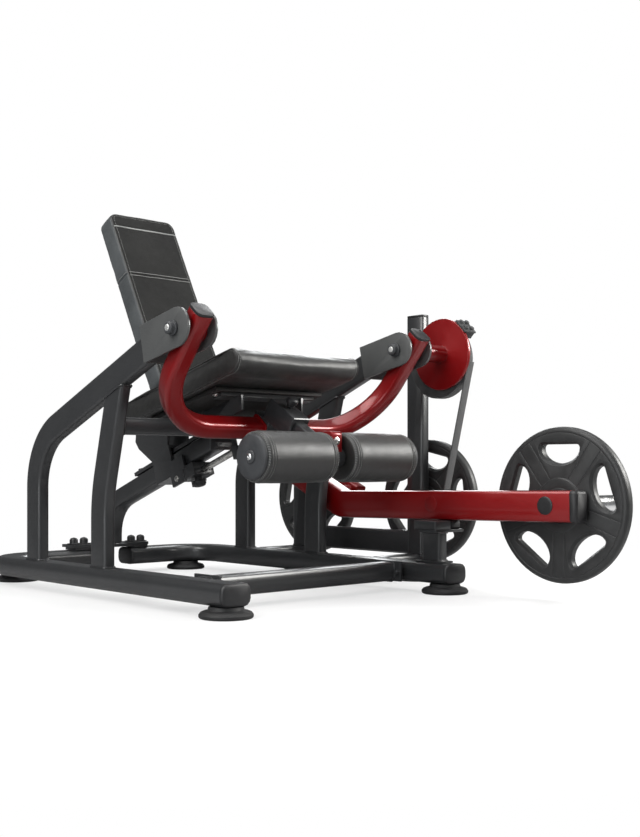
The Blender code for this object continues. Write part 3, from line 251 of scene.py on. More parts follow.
def leatherette(name, dark, light, rough=0.40, cell=430.0, strength=0.35, spec=0.52, sheen=0.05):
    """Vinyl leather: pebble grain with creases, soft sheen, rubbed patches."""
    net = new_net(name)
    place = net.coords()
    warp = net.node("TexNoise", {"Vector": place, "Scale": 120.0, "Detail": 2.0})
    warp_size = (0.004, 0.004, 0.004)
    warped = net.node("VectorMath", {0: warp.outputs["Color"], 1: warp_size, 2: place},
                      operation="MULTIPLY_ADD").outputs[0]
    cells = net.node("TexVoronoi", {"Vector": warped, "Scale": cell}, feature="DISTANCE_TO_EDGE")
    pebble = net.remap(cells.outputs["Distance"], span=(0.0, 0.28))
    crease = net.noise(place, scale=42.0, detail=5.0, rough=0.65)
    soft = net.noise(place, scale=6.5, rough=0.5)
    # the grain's valleys are darker than its tops: painted shade in the grain
    colour = net.mix(pebble, tuple(part * 0.55 for part in dark), dark)
    height = net.math("ADD", pebble, net.math("MULTIPLY", crease, 1.6))
    return net.finish(
        Base_Color=net.mix(net.remap(soft, span=(0.35, 0.7)), colour, light),
        Roughness=net.math("ADD", net.remap(crease, to=(rough - 0.05, rough + 0.07)),
                           net.remap(pebble, span=(0.0, 1.0), to=(0.12, 0.0))),
        Sheen_Weight=sheen, Sheen_Roughness=0.45, Specular_IOR_Level=spec,
        Normal=net.bump(height, strength=strength, distance=0.0004))


def moulded(name, dark, light, rough=0.55, grain=1300.0, strength=0.22, depth=0.0004, edge=None):
    """Rubber or moulded plastic: spark-eroded grain, scuffs and rubbed edges."""
    net = new_net(name)
    place = net.coords()
    normal = net.rounding(0.0014)
    grains = net.noise(place, scale=grain, detail=2.0, rough=0.6)
    scuff = net.noise(place, scale=24.0, detail=5.0, rough=0.65)
    colour = net.mix(net.remap(scuff, span=(0.32, 0.72)), dark, light)
    if edge:
        colour = net.mix(net.math("MULTIPLY", net.edge_mask(normal), 0.55), colour, edge)
    return net.finish(
        Base_Color=colour, Roughness=net.remap(scuff, to=(rough - 0.06, rough + 0.10)),
        Specular_IOR_Level=0.45,
        Normal=net.bump(grains, strength=strength, distance=depth, normal=normal))


def plated(name, clean, dull, rough, streak=(1, 1, 1), depth=0.03):
    """Plated or turned metal: faint lathe or polish lines and smudges."""
    net = new_net(name)
    place = net.coords()
    lines = net.noise(net.coords(streak), scale=420.0, rough=0.6)
    smudge = net.noise(place, scale=30.0, detail=4.0, rough=0.6)
    return net.finish(
        Base_Color=net.mix(net.remap(smudge, span=(0.35, 0.70)), clean, dull), Metallic=1.0,
        Roughness=net.math("ADD", net.remap(lines, to=(rough, rough + 0.07)),
                           net.remap(smudge, span=(0.45, 0.8), to=(0.0, 0.10))),
        Normal=net.bump(lines, strength=depth, distance=0.0003, normal=net.rounding(0.0010)))


def woven_belt(name):
    net = new_net(name)
    place = net.coords()

    def threads(direction, scale, distortion):
        values = {"Vector": place, "Scale": scale, "Distortion": distortion, "Detail": 1.0}
        return net.node("TexWave", values, wave_type="BANDS",
                        bands_direction=direction).outputs["Fac"]

    weave = net.math("MULTIPLY", threads("Z", scale=190.0, distortion=0.6),
                     threads("X", scale=150.0, distortion=0.4))
    soil = net.noise(place, scale=35.0, detail=4.0, rough=0.6)
    colour = net.mix(weave, (0.040, 0.041, 0.043), (0.125, 0.127, 0.130))
    return net.finish(
        Base_Color=net.mix(net.remap(soil, span=(0.4, 0.8), to=(0.0, 0.5)), colour,
                           (0.060, 0.060, 0.060)),
        Roughness=0.62, Sheen_Weight=0.2, Normal=net.bump(weave, strength=0.5, distance=0.0008))


def plywood(name):
    net = new_net(name)
    grain = net.node("TexWave", {"Vector": net.coords((14, 1.6, 14)), "Scale": 2.6,
                                 "Distortion": 9.0, "Detail": 4.0, "Detail Scale": 1.6})
    fibre = net.noise(net.coords((90, 6, 90)), scale=6.0, detail=4.0, rough=0.7)
    colour = net.mix(grain.outputs["Fac"], (0.0130, 0.0125, 0.0120), (0.0240, 0.0225, 0.0210))
    return net.finish(
        Base_Color=net.mix(net.remap(fibre, span=(0.4, 0.7), to=(0.0, 0.5)), colour,
                           (0.0085, 0.0080, 0.0078)),
        Roughness=net.remap(fibre, to=(0.48, 0.68)),
        Normal=net.bump(fibre, strength=0.25, distance=0.0006))


# Each finish starts with its name and its two main colours
MATERIALS = {
    "frame": powder_coat("paint_charcoal", (0.0245, 0.0252, 0.0265), (0.0325, 0.0332, 0.0350)),
    # the bracket's very pale edge colour is partly wear and partly painted edge highlight
    "bracket": powder_coat("paint_bracket", (0.066, 0.068, 0.068), (0.088, 0.090, 0.089),
                           rough=0.42, edge=(0.42, 0.42, 0.40)),
    "red": candy_red("paint_red"),
    "upholstery": leatherette("vinyl_black", (0.0125, 0.0125, 0.0120), (0.0180, 0.0180, 0.0172),
                              rough=0.36, spec=0.75),
    "back_front": leatherette("vinyl_matt", (0.0085, 0.0085, 0.0080), (0.0120, 0.0120, 0.0113),
                              rough=0.60, strength=0.30, spec=0.22, sheen=0.0),
    # the same vinyl made paler and bluer for the back rest's side band: a painted reflection
    "side_band_painted_sheen": leatherette("vinyl_side_painted_sheen", (0.058, 0.064, 0.068), (0.080, 0.087, 0.091),
                              rough=0.50, cell=300.0, strength=0.30),
    "piping": leatherette("vinyl_piping", (0.26, 0.265, 0.26), (0.36, 0.365, 0.355),
                          rough=0.50, cell=500.0, strength=0.25),
    "thread": moulded("thread_grey", (0.22, 0.222, 0.215), (0.38, 0.382, 0.37),
                      rough=0.60, grain=2600.0, strength=0.5),
    "rubber": moulded("rubber_foot", (0.010, 0.010, 0.0105), (0.020, 0.020, 0.021), rough=0.62,
                      grain=900.0, strength=0.30, depth=0.0006, edge=(0.05, 0.05, 0.05)),
    "weight": moulded("rubber_plate", (0.0215, 0.0218, 0.0222), (0.0310, 0.0314, 0.0320),
                      rough=0.44, grain=700.0, strength=0.26, depth=0.0006,
                      edge=(0.085, 0.086, 0.086)),
    "plastic": moulded("plastic_black", (0.0130, 0.0130, 0.0140), (0.0210, 0.0210, 0.0225),
                       rough=0.42, grain=1500.0, strength=0.25, depth=0.0003,
                       edge=(0.05, 0.05, 0.052)),
    "cap_grey": moulded("plastic_grey", (0.034, 0.036, 0.039), (0.050, 0.052, 0.056),
                        rough=0.50, strength=0.30, edge=(0.12, 0.12, 0.125)),
    "chrome": plated("chrome_plate", (0.86, 0.86, 0.86), (0.74, 0.74, 0.75), rough=0.17,
                     streak=(12, 1, 1)),
    "steel": plated("zinc_steel", (0.44, 0.43, 0.41), (0.30, 0.30, 0.29), rough=0.30,
                    streak=(1, 1, 8), depth=0.10),
    "silver": plated("zinc_bright", (0.70, 0.69, 0.66), (0.55, 0.54, 0.52), rough=0.22,
                     streak=(8, 1, 1), depth=0.06),
    "bright": plated("zinc_face", (0.95, 0.95, 0.93), (0.84, 0.84, 0.82), rough=0.42,
                     streak=(8, 1, 1), depth=0.06),
    "iron": moulded("iron_black", (0.030, 0.031, 0.032), (0.062, 0.063, 0.065), rough=0.50,
                    grain=520.0, strength=0.40, depth=0.0008, edge=(0.17, 0.17, 0.17)),
    "belt": woven_belt("belt_weave"),
    "wood": plywood("plywood_black"),
    "bronze": plated("bronze_sleeve", (0.46, 0.30, 0.13), (0.36, 0.23, 0.10), rough=0.30,
                     streak=(8, 1, 1), depth=0.08),
}


# ---------------------------------------------------------- mesh making tools
def link(name, data):
    obj = bpy.data.objects.new(name, data)
    SCENE.collection.objects.link(obj)
    return obj


def to_data(mesh):
    bmesh.ops.recalc_face_normals(mesh, faces=mesh.faces[:])
    data = bpy.data.meshes.new("tmp")
    mesh.to_mesh(data)
    mesh.free()
    return data


def add_piece(name, data, finish, body="frame", angle=35.0, replaces=None):
    """A finished object; edges sharper than the angle stay hard."""
    data.transform(Matrix.Translation(SHIFT))
    data.name = name
    data.materials.clear()
    data.materials.append(MATERIALS[finish])
    data.shade_smooth()
    data.set_sharp_from_angle(angle=RAD(angle))
    obj = link(name, data)
    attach(obj, body)
    if replaces:
        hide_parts(replaces)
    return obj


def make(name, mesh, finish, body="frame", angle=35.0, replaces=None):
    return add_piece(name, to_data(mesh), finish, body, angle, replaces)


def arc(cx, cy, radius_x, radius_y, start, sweep, steps):
    """Points on part of an ellipse, its angles in degrees."""
    turns = [RAD(start + sweep * i / steps) for i in range(steps + 1)]
    return [(cx + radius_x * math.cos(turn), cy + radius_y * math.sin(turn)) for turn in turns]


def rounded(width, height, radius, steps):
    """A rectangle with rounded corners."""
    points = []
    for sx, sy, start in ((1, 1, 0), (-1, 1, 90), (-1, -1, 180), (1, -1, 270)):
        points += arc(sx * (width / 2 - radius), sy * (height / 2 - radius),
                      radius, radius, start, 90, steps)
    return points


def bent_path(start, corner, end, radius, steps):
    """A path from start to end with its one corner rounded."""
    start, corner, end = Vector(start), Vector(corner), Vector(end)
    back = (start - corner).normalized()
    ahead = (end - corner).normalized()
    opening = back.angle(ahead)
    reach = radius / math.tan(opening / 2)
    centre = corner + (back + ahead).normalized() * (radius / math.sin(opening / 2))
    spoke = corner + back * reach - centre
    axis = spoke.cross(corner + ahead * reach - centre).normalized()
    bend = [centre + Matrix.Rotation((math.pi - opening) * i / steps, 3, axis) @ spoke
            for i in range(steps + 1)]
    return [start, *bend, end]


def sweep_rings(path, section, side):
    """Rings of points: the section carried along the path, mitred at each joint."""
    path = [Vector(place) for place in path]
    side = Vector(side)
    rings, before = [], None
    for i, place in enumerate(path):
        arrive = (place - path[i - 1]).normalized() if i else (path[1] - place).normalized()
        leave = (path[i + 1] - place).normalized() if i < len(path) - 1 else arrive
        along = (arrive + leave).normalized()
        if before is not None:
            side = before.rotation_difference(along) @ side
        side = (side - along * side.dot(along)).normalized()
        up = along.cross(side).normalized()
        before = along
        bend = leave - arrive
        half = arrive.angle(leave) / 2 if bend.length > 1e-9 else 0.0
        bend = bend.normalized()
        ring = []
        for wide, high in section:
            out = side * wide + up * high
            if half > 1e-6:
                out = out + bend * (out.dot(bend) * (1 / math.cos(half) - 1))
            ring.append(place + out)
        rings.append(ring)
    return rings


def skin(mesh, rings, closed=False):
    """Faces between successive rings, joined end to end or capped."""
    rows = [[mesh.verts.new(place) for place in ring] for ring in rings]
    count = len(rows[0])
    for low, high in list(zip(rows, rows[1:])) + ([(rows[-1], rows[0])] if closed else []):
        for j in range(count):
            k = (j + 1) % count
            mesh.faces.new((low[j], low[k], high[k], high[j]))
    if not closed:
        mesh.faces.new(rows[0][::-1])
        mesh.faces.new(rows[-1])


def tube(mesh, path, section, side):
    skin(mesh, sweep_rings(path, section, side))


def turned(mesh, profile, origin, axis, sides, closed=False, wobble=None):
    """Turned solid added to mesh; profile holds (distance along the axis, radius)."""
    axis, origin = Vector(axis).normalized(), Vector(origin)
    side = Vector((0, 0, 1)) if abs(axis.z) < 0.9 else Vector((0, 1, 0))
    side = (side - axis * side.dot(axis)).normalized()
    other = axis.cross(side)
    rings = []
    for along, radius in profile:
        centre = origin + axis * along
        if radius < 1e-9:
            rings.append([mesh.verts.new(centre)])
            continue
        ring = []
        for i in range(sides):
            turn = 2 * math.pi * i / sides
            reach = radius + (wobble(along, turn) if wobble else 0.0)
            spoke = side * math.cos(turn) + other * math.sin(turn)
            ring.append(mesh.verts.new(centre + spoke * reach))
        rings.append(ring)
    for low, high in list(zip(rings, rings[1:])) + ([(rings[-1], rings[0])] if closed else []):
        for i in range(sides):
            j = (i + 1) % sides
            if len(low) == 1:
                mesh.faces.new((low[0], high[i], high[j]))
            elif len(high) == 1:
                mesh.faces.new((low[i], low[j], high[0]))
            else:
                mesh.faces.new((low[i], low[j], high[j], high[i]))


def make_turned(name, profile, origin, axis, sides, finish, body, angle=40.0, closed=False):
    mesh = bmesh.new()
    turned(mesh, profile, origin, axis, sides, closed)
    make(name, mesh, finish, body, angle)


def prism(mesh, outline, x0, x1):
    """A (y, z) outline carried from x0 to x1."""
    face = mesh.faces.new([mesh.verts.new((x0, y, z)) for y, z in outline])
    made = bmesh.ops.extrude_face_region(mesh, geom=[face])["geom"]
    far = [item for item in made if isinstance(item, bmesh.types.BMVert)]
    bmesh.ops.translate(mesh, verts=far, vec=(x1 - x0, 0, 0))


def baked(obj):
    """The object's mesh with its modifiers applied."""
    bpy.context.view_layer.update()
    graph = bpy.context.evaluated_depsgraph_get()
    return bpy.data.meshes.new_from_object(obj.evaluated_get(graph))


def drop(obj):
    bpy.data.objects.remove(obj, do_unlink=True)


def cord(mesh, points, radius, closed=False, sides=8, lump=0.0):
    """A round cord through the points; lump beads it, as in a weld."""
    count = len(points)
    rings, tangents, side = [], [], None
    for i, place in enumerate(points):
        before = points[(i - 1) % count] if closed or i else place
        after = points[(i + 1) % count] if closed or i < count - 1 else place
        along = (after - before).normalized()
        tangents.append(along)
        if side is None:
            side = Vector((0, 0, 1)) if abs(along.z) < 0.9 else Vector((1, 0, 0))
            side = (side - along * side.dot(along)).normalized()
        side = (side - along * side.dot(along)).normalized()
        up = along.cross(side)
        reach = radius * (1 + lump * (1 if i % 2 else -1))
        rings.append([place + (side * math.cos(2 * math.pi * j / sides)
                               + up * math.sin(2 * math.pi * j / sides)) * reach
                      for j in range(sides)])
    if closed:
        # turn the rings gradually so that the closing strip does not twist
        first = rings[0][0]
        best = min(range(sides), key=lambda j: (rings[-1][j] - first).length)
        if best:
            turn = 2 * math.pi * best / sides
            for i, (place, along) in enumerate(zip(points, tangents)):
                rotation = Matrix.Rotation(turn * i / count, 3, along)
                rings[i] = [place + rotation @ (corner - place) for corner in rings[i]]
    skin(mesh, rings, closed)


def resample(points, step, closed=False):
    """Evenly spaced points on a polyline, about a step apart."""
    points = [Vector(place) for place in points]
    if closed:
        points.append(points[0])
    total = sum((b - a).length for a, b in zip(points, points[1:]))
    count = max(2, round(total / step))
    out, seg, done = [], 0, 0.0
    for i in range(count if closed else count + 1):
        want = total * i / count
        while (seg < len(points) - 2
               and done + (points[seg + 1] - points[seg]).length < want):
            done += (points[seg + 1] - points[seg]).length
            seg += 1
        length = (points[seg + 1] - points[seg]).length
        part = (want - done) / length if length > 1e-9 else 0.0
        out.append(points[seg].lerp(points[seg + 1], min(1.0, max(0.0, part))))
    return out


def weld(mesh, ring, radius):
    """Weld bead: a lumpy closed cord half sunk in the corner between two parts."""
    cord(mesh, resample(ring, 0.0042, True), radius, closed=True, lump=0.16)


def stitch_row(mesh, points, normals, radius, fill=0.66):
    """Row of short thread stitches on a surface; fill is the stitched share of the pitch."""
    lift = 0.0002
    for start, end, normal in zip(points, points[1:], normals):
        mid, half = (start + end) / 2, (end - start) * fill / 2
        shoulder = normal * (lift + radius * 0.3)
        cord(mesh, [mid - half - normal * radius * 0.9,
                    mid - half * 0.75 + shoulder,
                    mid + normal * (lift + radius * 0.6),
                    mid + half * 0.75 + shoulder,
                    mid + half - normal * radius * 0.9], radius, sides=5)


# --------------------------------------------------- CAD nodes: finish, edges
SLOT = {part["node"]: part["material_slot"] for part in frame["record"]["subparts"]}
NODE_FINISH = {"right_pivot_bracket": "bracket", "left_pivot_bracket": "bracket",
               "spine_bolts_right": "plastic", "spine_bolts_left": "plastic",
               "knee_shaft_right": "cap_grey", "knee_shaft_left": "cap_grey",
               "strut_cylinder": "silver",
               "roller_cap_right": "cap_grey", "roller_cap_left": "cap_grey"}
NO_BEVEL = {"belt_strap", "belt_wrap", "cam_drum", "knee_sleeve_right", "knee_sleeve_left"}
for name in sorted(NODES):
    obj = NODES[name]
    obj.data.materials.clear()
    obj.data.materials.append(MATERIALS[NODE_FINISH.get(name, SLOT[name])])
    obj.data.shade_smooth()
    obj.modifiers.new("weld", "WELD").merge_threshold = 0.00002
    if name not in NO_BEVEL:
        bevel = obj.modifiers.new("edge", "BEVEL")
        bevel.width, bevel.segments = 0.0011, 2
        bevel.limit_method, bevel.angle_limit = "ANGLE", RAD(38)
        bevel.use_clamp_overlap, bevel.miter_outer = True, "MITER_ARC"
    split = obj.modifiers.new("split", "EDGE_SPLIT")
    split.split_angle, split.use_edge_sharp = RAD(34), False

# ---------------------------------------------------------------- side frames
FLOOR_SECTION = rounded(FLOOR_W, FLOOR_H, FLOOR_CORNER, 9)
POST = rounded(POST_W, POST_D, POST_CORNER, 5)


def floor_top(x_off):
    """Height of the floor tube's surface at a sideways distance from its middle."""
    over = max(0.0, abs(x_off) - (FLOOR_W / 2 - FLOOR_CORNER))
    drop_z = math.sqrt(max(0.0, FLOOR_CORNER ** 2 - over * over))
    return FLOOR_Z + FLOOR_H / 2 - FLOOR_CORNER + drop_z


def cut_to_plane(points, along, plane_place, plane_normal):
    """The points slid along a direction on to a plane."""
    return [place + along * ((plane_place - place).dot(plane_normal) / along.dot(plane_normal))
            for place in points]


def side_frame(tag, sign, half_end):
    x = sign * SIDE_X
    mesh = bmesh.new()
    tube(mesh, bent_path((x, FRONT_Y + 0.006, FLOOR_Z), (x, REAR_Y, FLOOR_Z),
                         (half_end, REAR_Y, FLOOR_Z), FLOOR_BEND, 22), FLOOR_SECTION, (1, 0, 0))
    front_path = bent_path((x, FRONT_POST_Y, POST_FOOT_Z), (x, FRONT_POST_Y, 0.300),
                           (x, 0.326, 0.645), 0.50, 12)
    tube(mesh, front_path, rounded(POST_W - 0.0010, POST_D, POST_CORNER, 5), (1, 0, 0))
    slope, front_end_y = math.tan(TOP_SLOPE), 0.090
    path = bent_path((x, REAR_POST_Y, POST_FOOT_Z),
                     (x, REAR_POST_Y, TOP_Z - (REAR_POST_Y - TOP_Y) * slope),
                     (x, front_end_y, TOP_Z + (TOP_Y - front_end_y) * slope), 0.200, 26)
    # the upper tube ends flush with the bracket's tilted rear face
    along = (path[-1] - path[-2]).normalized()
    reach = BRACKET_BACK + GAP
    foot = Vector((x, reach * math.cos(BRACKET_TILT), KNEE_Z - reach * math.sin(BRACKET_TILT)))
    face = Vector((0, math.cos(BRACKET_TILT), -math.sin(BRACKET_TILT)))
    rings = sweep_rings(path[:-1] + [path[-2] + along * 0.5], POST, (1, 0, 0))
    rings[-1] = cut_to_plane(rings[-2], along, foot, face)
    skin(mesh, rings)
    if sign > 0:
        y0, z0, z1 = BLOCK_Y - 0.030, BLOCK_Z - 0.030, BLOCK_Z + 0.030
        prism(mesh, [(y0, z0), (REAR_POST_Y, z0), (REAR_POST_Y, z1), (y0, z1)], 0.421, 0.4365)
    make("side_frame_" + tag, mesh, "frame", replaces=tag + "_side_frame")

    # beads where the uprights meet the floor tube and the upper tube meets its neighbours
    mesh = bmesh.new()
    for post_y in (FRONT_POST_Y, REAR_POST_Y):
        weld(mesh, [Vector((x + a * 1.02, post_y + b * 1.02, floor_top(a) + 0.0012))
                    for a, b in POST], 0.0034)
    side = Vector((1, 0, 0))
    start = front_path[-2]
    rise = (front_path[-1] - start).normalized()
    up = rise.cross(side).normalized()
    tube_normal = Vector((0, math.sin(TOP_SLOPE), math.cos(TOP_SLOPE)))
    tube_under = Vector((x, TOP_Y, TOP_Z)) - tube_normal * (POST_D / 2)
    ring = [start + side * (a * 1.03) + up * (b * 1.02) for a, b in POST]
    weld(mesh, cut_to_plane(ring, rise, tube_under, tube_normal), 0.0030)
    up = along.cross(side)
    ring = [path[-2] + side * (a * 1.04) + up * (b * 1.03) for a, b in POST]
    ring = [place + face * 0.0008 for place in cut_to_plane(ring, along, foot, face)]
    weld(mesh, ring, 0.0021)
    make("weld_beads_" + tag, mesh, "frame", angle=60.0)


side_frame("right", -1, HALF_END_R)
side_frame("left", 1, HALF_END_L)


def weld_flat(mesh, centre, section, grow, radius, axis="z"):
    """Bead round a tube that runs along z or x, its section grown by two factors."""
    x, y, z = centre
    offsets = [(a * grow[0], b * grow[1]) for a, b in section]
    if axis == "z":
        weld(mesh, [Vector((x + a, y + b, z)) for a, b in offsets], radius)
    else:
        weld(mesh, [Vector((x, y + a, z + b)) for a, b in offsets], radius)


# more beads: outer posts, stop post, spine foot, cross beam ends
mesh = bmesh.new()
for y in (STORE_FRONT_Y, STORE_REAR_Y):
    weld_flat(mesh, (OUTER_X, y, 0.0963), rounded(0.036, 0.072, 0.008, 4), (1.03, 1.02), 0.0026)
for z in (0.1036, 0.1874):
    weld_flat(mesh, (0.427, -0.110, z), rounded(0.038, 0.070, 0.006, 3), (1.05, 1.03), 0.0024)
weld_flat(mesh, (0, 1.030, 0.1172), rounded(0.060, 0.060, 0.010, 4), (1.03, 1.03), 0.0026)
for tag, sign in SIDES:
    weld_flat(mesh, (sign * (SIDE_X - POST_W / 2 - 0.0012), 0.360, 0.505),
              rounded(0.050, 0.050, 0.008, 3), (1.03, 1.03), 0.0026, axis="x")
    weld_flat(mesh, (sign * (SIDE_X - FLOOR_W / 2 - 0.0006 - 0.0272), 0.010, FLOOR_Z),
              rounded(0.060, 0.058, 0.014, 4), (1.03, 1.03), 0.0026, axis="x")
make("weld_beads_small", mesh, "frame", angle=60.0)

# ----------------------------------------------------------------- yoke tubes
for tag, sign in SIDES:
    x = sign * SIDE_X
    mesh = bmesh.new()
    tube(mesh, bent_path((x, ARM_TOP_Y, ARM_TOP_Z), (x, YOKE_Y, YOKE_Z),
                         (sign * (HOUSING_HALF + GAP), YOKE_Y, YOKE_Z), 0.200, 36),
         rounded(ARM_W, ARM_D, 0.016, 6), (1, 0, 0))
    turned(mesh, [(-0.0404, 0.0), (-0.0404, 0.0285), (-0.0390, 0.0300),
                  (0.0390, 0.0300), (0.0404, 0.0285), (0.0404, 0.0)],
           (x, 0, KNEE_Z), (1, 0, 0), 64)
    make("yoke_tube_" + tag, mesh, "red", "yoke", replaces="yoke_arm_" + tag)


# ---------------------------------------------------------------- grip plates
def grip_plate(name, node_name, body, y, z, radius, spin):
    """Rubber-coated grip plate: flat faces, ring groove, hub boss, five bevelled hand holes."""
    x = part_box(node_name)[0].x - SHIFT.x
    # (depth from the face, radius), from the bore out to the rim
    face = [(0.0005, 0.0256), (0.0005, 0.0470), (0.0010, 0.0486), (0.0022, 0.0496),
            (0.0022, 0.0508), (0.0012, 0.0518), (0.0012, 0.0750), (0.0018, 0.0766),
            (0.0038, 0.0786), (0.0038, radius - 0.0176), (0.0050, radius - 0.0171),
            (0.0050, radius - 0.0153), (0.0038, radius - 0.0148), (0.0038, radius - 0.0125),
            (0.0044, radius - 0.0086), (0.0064, radius - 0.0044), (0.0098, radius - 0.0013),
            (0.0140, radius)]
    mesh = bmesh.new()
    turned(mesh, face + [(PLATE_T - depth, reach) for depth, reach in reversed(face)],
           (x, y, z), (1, 0, 0), 112, closed=True)
    plate = link("tmp", to_data(mesh))
    # a hole has a flat outer side and a half-elliptical inner side
    flat, half_width = radius * 0.775, radius * 0.290
    bowl = flat - 0.012
    deep = bowl - radius * 0.530

    def hole(i, grow, corner):
        angle = RAD(spin + 72 * i)
        out = Vector((-math.cos(angle), math.sin(angle)))
        wide = Vector((math.sin(angle), math.cos(angle)))
        half = half_width + grow
        top = flat + grow * 0.8
        rounding = arc(half - corner, top - corner, corner, corner, 0, 90, 4)
        points = arc(0, bowl, half, deep + grow, 180, 180, 14) + rounding
        points += [(-across, along) for across, along in reversed(rounding)]
        return [(y + out.x * along + wide.x * across, z + out.y * along + wide.y * across)
                for across, along in points]

    def hole_cutter(i):
        full, wide = hole(i, 0.0, 0.0105), hole(i, 0.0068, 0.0140)
        lip = hole(i, 0.0074, 0.0142)
        stations = ((lip, -0.02), (lip, 0.0046), (wide, 0.0054), (full, 0.0112),
                    (full, PLATE_T - 0.0112), (wide, PLATE_T - 0.0054),
                    (lip, PLATE_T - 0.0046), (lip, PLATE_T + 0.02))
        mesh = bmesh.new()
        skin(mesh, [[Vector((x + depth, a, b)) for a, b in outline]
                    for outline, depth in stations])
        return mesh

    def line_cutter(i, offset):
        """Shallow radial line, one of a pair on each spoke."""
        angle = RAD(spin + 36 + 72 * i)
        out = Vector((0, -math.cos(angle), math.sin(angle)))
        wide = Vector((0, math.sin(angle), math.cos(angle)))
        centre, near_r, far_r, half = Vector((x, y, z)), 0.0780, radius - 0.0162, 0.0010
        near_off = offset * 0.86
        corners = [centre + out * reach + wide * across for reach, across in
                   ((near_r, near_off - half), (far_r, offset - half),
                    (far_r, offset + half), (near_r, near_off + half))]
        mesh = bmesh.new()
        prism(mesh, [(place.y, place.z) for place in corners], x - 0.01, x + 0.0050)
        return mesh

    cutters = []
    for i in range(5):
        for mesh in (hole_cutter(i), line_cutter(i, -0.0215), line_cutter(i, 0.0215)):
            cutters.append(link("tmp", to_data(mesh)))
    for cutter in cutters:
        cut = plate.modifiers.new("cut", "BOOLEAN")
        cut.operation, cut.solver, cut.object = "DIFFERENCE", "EXACT", cutter
        data = baked(plate)
        plate.modifiers.clear()
        plate.data = data
        drop(cutter)
    edge = plate.modifiers.new("edge", "BEVEL")
    edge.width, edge.segments, edge.limit_method, edge.angle_limit = 0.0009, 2, "ANGLE", RAD(34)
    edge.use_clamp_overlap = True
    data = baked(plate)
    drop(plate)
    add_piece(name, data, "weight", body, 32.0, node_name)


grip_plate("grip_plate_working", "lever_weight_plate", "working_plate",
           HORN_Y, HORN_Z, radius=0.225, spin=90.0)
grip_plate("grip_plate_front", "stored_plate_front", "front_stored_plate",
           STORE_FRONT_Y, STORE_Z, radius=0.205, spin=78.0)
grip_plate("grip_plate_rear", "stored_plate_rear", "rear_stored_plate",
           STORE_REAR_Y, STORE_Z, radius=0.205, spin=96.0)

# ---------------------------------------------------------------- roller pads
ROLL_SEAMS = (0.0130, 0.0215, ROLL_LEN - 0.0215, ROLL_LEN - 0.0130)


def sleeve_radius(along):
    """Crowned, pulled in at the ends and pinched at the ring seams."""
    end = min(along, ROLL_LEN - along)
    radius = ROLL_R - 0.0006 + 0.0012 * math.sin(math.pi * along / ROLL_LEN)
    if end < 0.014:
        radius -= 0.0085 * (1 - end / 0.014) ** 2.6
    for seam in ROLL_SEAMS:
        radius -= 0.0013 * math.exp(-((along - seam) / 0.0012) ** 2)
    # slight swell between the twin seams
    return radius + 0.00072 * math.exp(-((end - 0.0172) / 0.0022) ** 2)


def roller(tag, sign):
    """Foam roller in a sewn, lightly creased sleeve."""
    def crease(along, turn):
        if min(along, ROLL_LEN - along) < 0.0005:
            return 0.0
        cos, sin = math.cos(turn), math.sin(turn)
        broad = Vector((along * 9, cos * 1.3 + sign * 4, sin * 1.3))
        fine = Vector((along * 60, cos * 5 + sign * 4, sin * 5))
        return 0.0009 * noise.noise(broad) + 0.00022 * noise.noise(fine)

    def axis_pt(along):
        return Vector((sign * (ROLL_IN + along), ROLL_Y, ROLL_Z))

    def spoke(turn):
        return Vector((0, math.cos(turn), math.sin(turn)))

    profile = [(0.0, 0.0132), (0.0, 0.0300), (0.0, 0.0540), (0.0004, 0.0600)]
    steps = 120
    for i in range(steps + 1):
        part = i / steps
        # stations crowd towards the ends
        along = (ROLL_LEN * (0.5 - 0.5 * math.cos(math.pi * part)) * 0.55
                 + ROLL_LEN * part * 0.45)
        along = min(max(along, 0.0012), ROLL_LEN - 0.0012)
        if along - profile[-1][0] > 0.0002:
            profile.append((along, sleeve_radius(along)))
    profile += [(ROLL_LEN - 0.0004, 0.0600), (ROLL_LEN, 0.0540), (ROLL_LEN, 0.0300),
                (ROLL_LEN, 0.0132)]
    mesh = bmesh.new()
    turned(mesh, profile, axis_pt(0), (sign, 0, 0), 96, closed=True, wobble=crease)
    make("roller_sleeve_" + tag, mesh, "upholstery", tag + "_roller", 50.0, "roller_pad_" + tag)

    # ring stitching, and the whipped stitch round each end
    mesh = bmesh.new()
    count = 66
    for seam in ROLL_SEAMS:
        spokes = [spoke(2 * math.pi * i / count) for i in range(count + 1)]
        reach = sleeve_radius(seam) + 0.0004
        stitch_row(mesh, [axis_pt(seam) + out * reach for out in spokes], spokes, 0.00055)
    count = 60
    for edge, inner in ((0.0006, 0.0050), (ROLL_LEN - 0.0006, ROLL_LEN - 0.0050)):
        start, end = axis_pt(edge), axis_pt(inner)
        edge_r, inner_r = 0.0628, sleeve_radius(inner)
        for i in range(count):
            turn = 2 * math.pi * i / count
            out, lean = spoke(turn), spoke(turn + 0.028)
            cord(mesh, [start + out * (edge_r - 0.0006),
                        start.lerp(end, 0.25) + out * ((edge_r + inner_r) / 2 + 0.0012),
                        start.lerp(end, 0.7) + lean * (inner_r + 0.0005),
                        end + lean * (inner_r - 0.0004)], 0.0007, sides=5)
    make("roller_stitching_" + tag, mesh, "thread", tag + "_roller", 60.0)


for tag, sign in SIDES:
    roller(tag, sign)

# grey washers and chrome button screws in the roller end discs
for tag, sign in SIDES:
    end = (sign * (ROLL_OUT + 0.0100), ROLL_Y, ROLL_Z)
    make_turned("roller_washer_" + tag,
                [(0.0002, 0.0), (0.0002, 0.0185), (0.0018, 0.0185), (0.0038, 0.0165),
                 (0.0046, 0.0135), (0.0048, 0.0)],
                end, (sign, 0, 0), 40, "cap_grey", "roller_carrier")
    make_turned("roller_screw_" + tag,
                [(0.0040, 0.0), (0.0040, 0.0088), (0.0052, 0.0092), (0.0068, 0.0080),
                 (0.0078, 0.0058), (0.0081, 0.0042), (0.0081, 0.0034), (0.0056, 0.0032),
                 (0.0056, 0.0)],
                end, (sign, 0, 0), 32, "chrome", "roller_carrier")

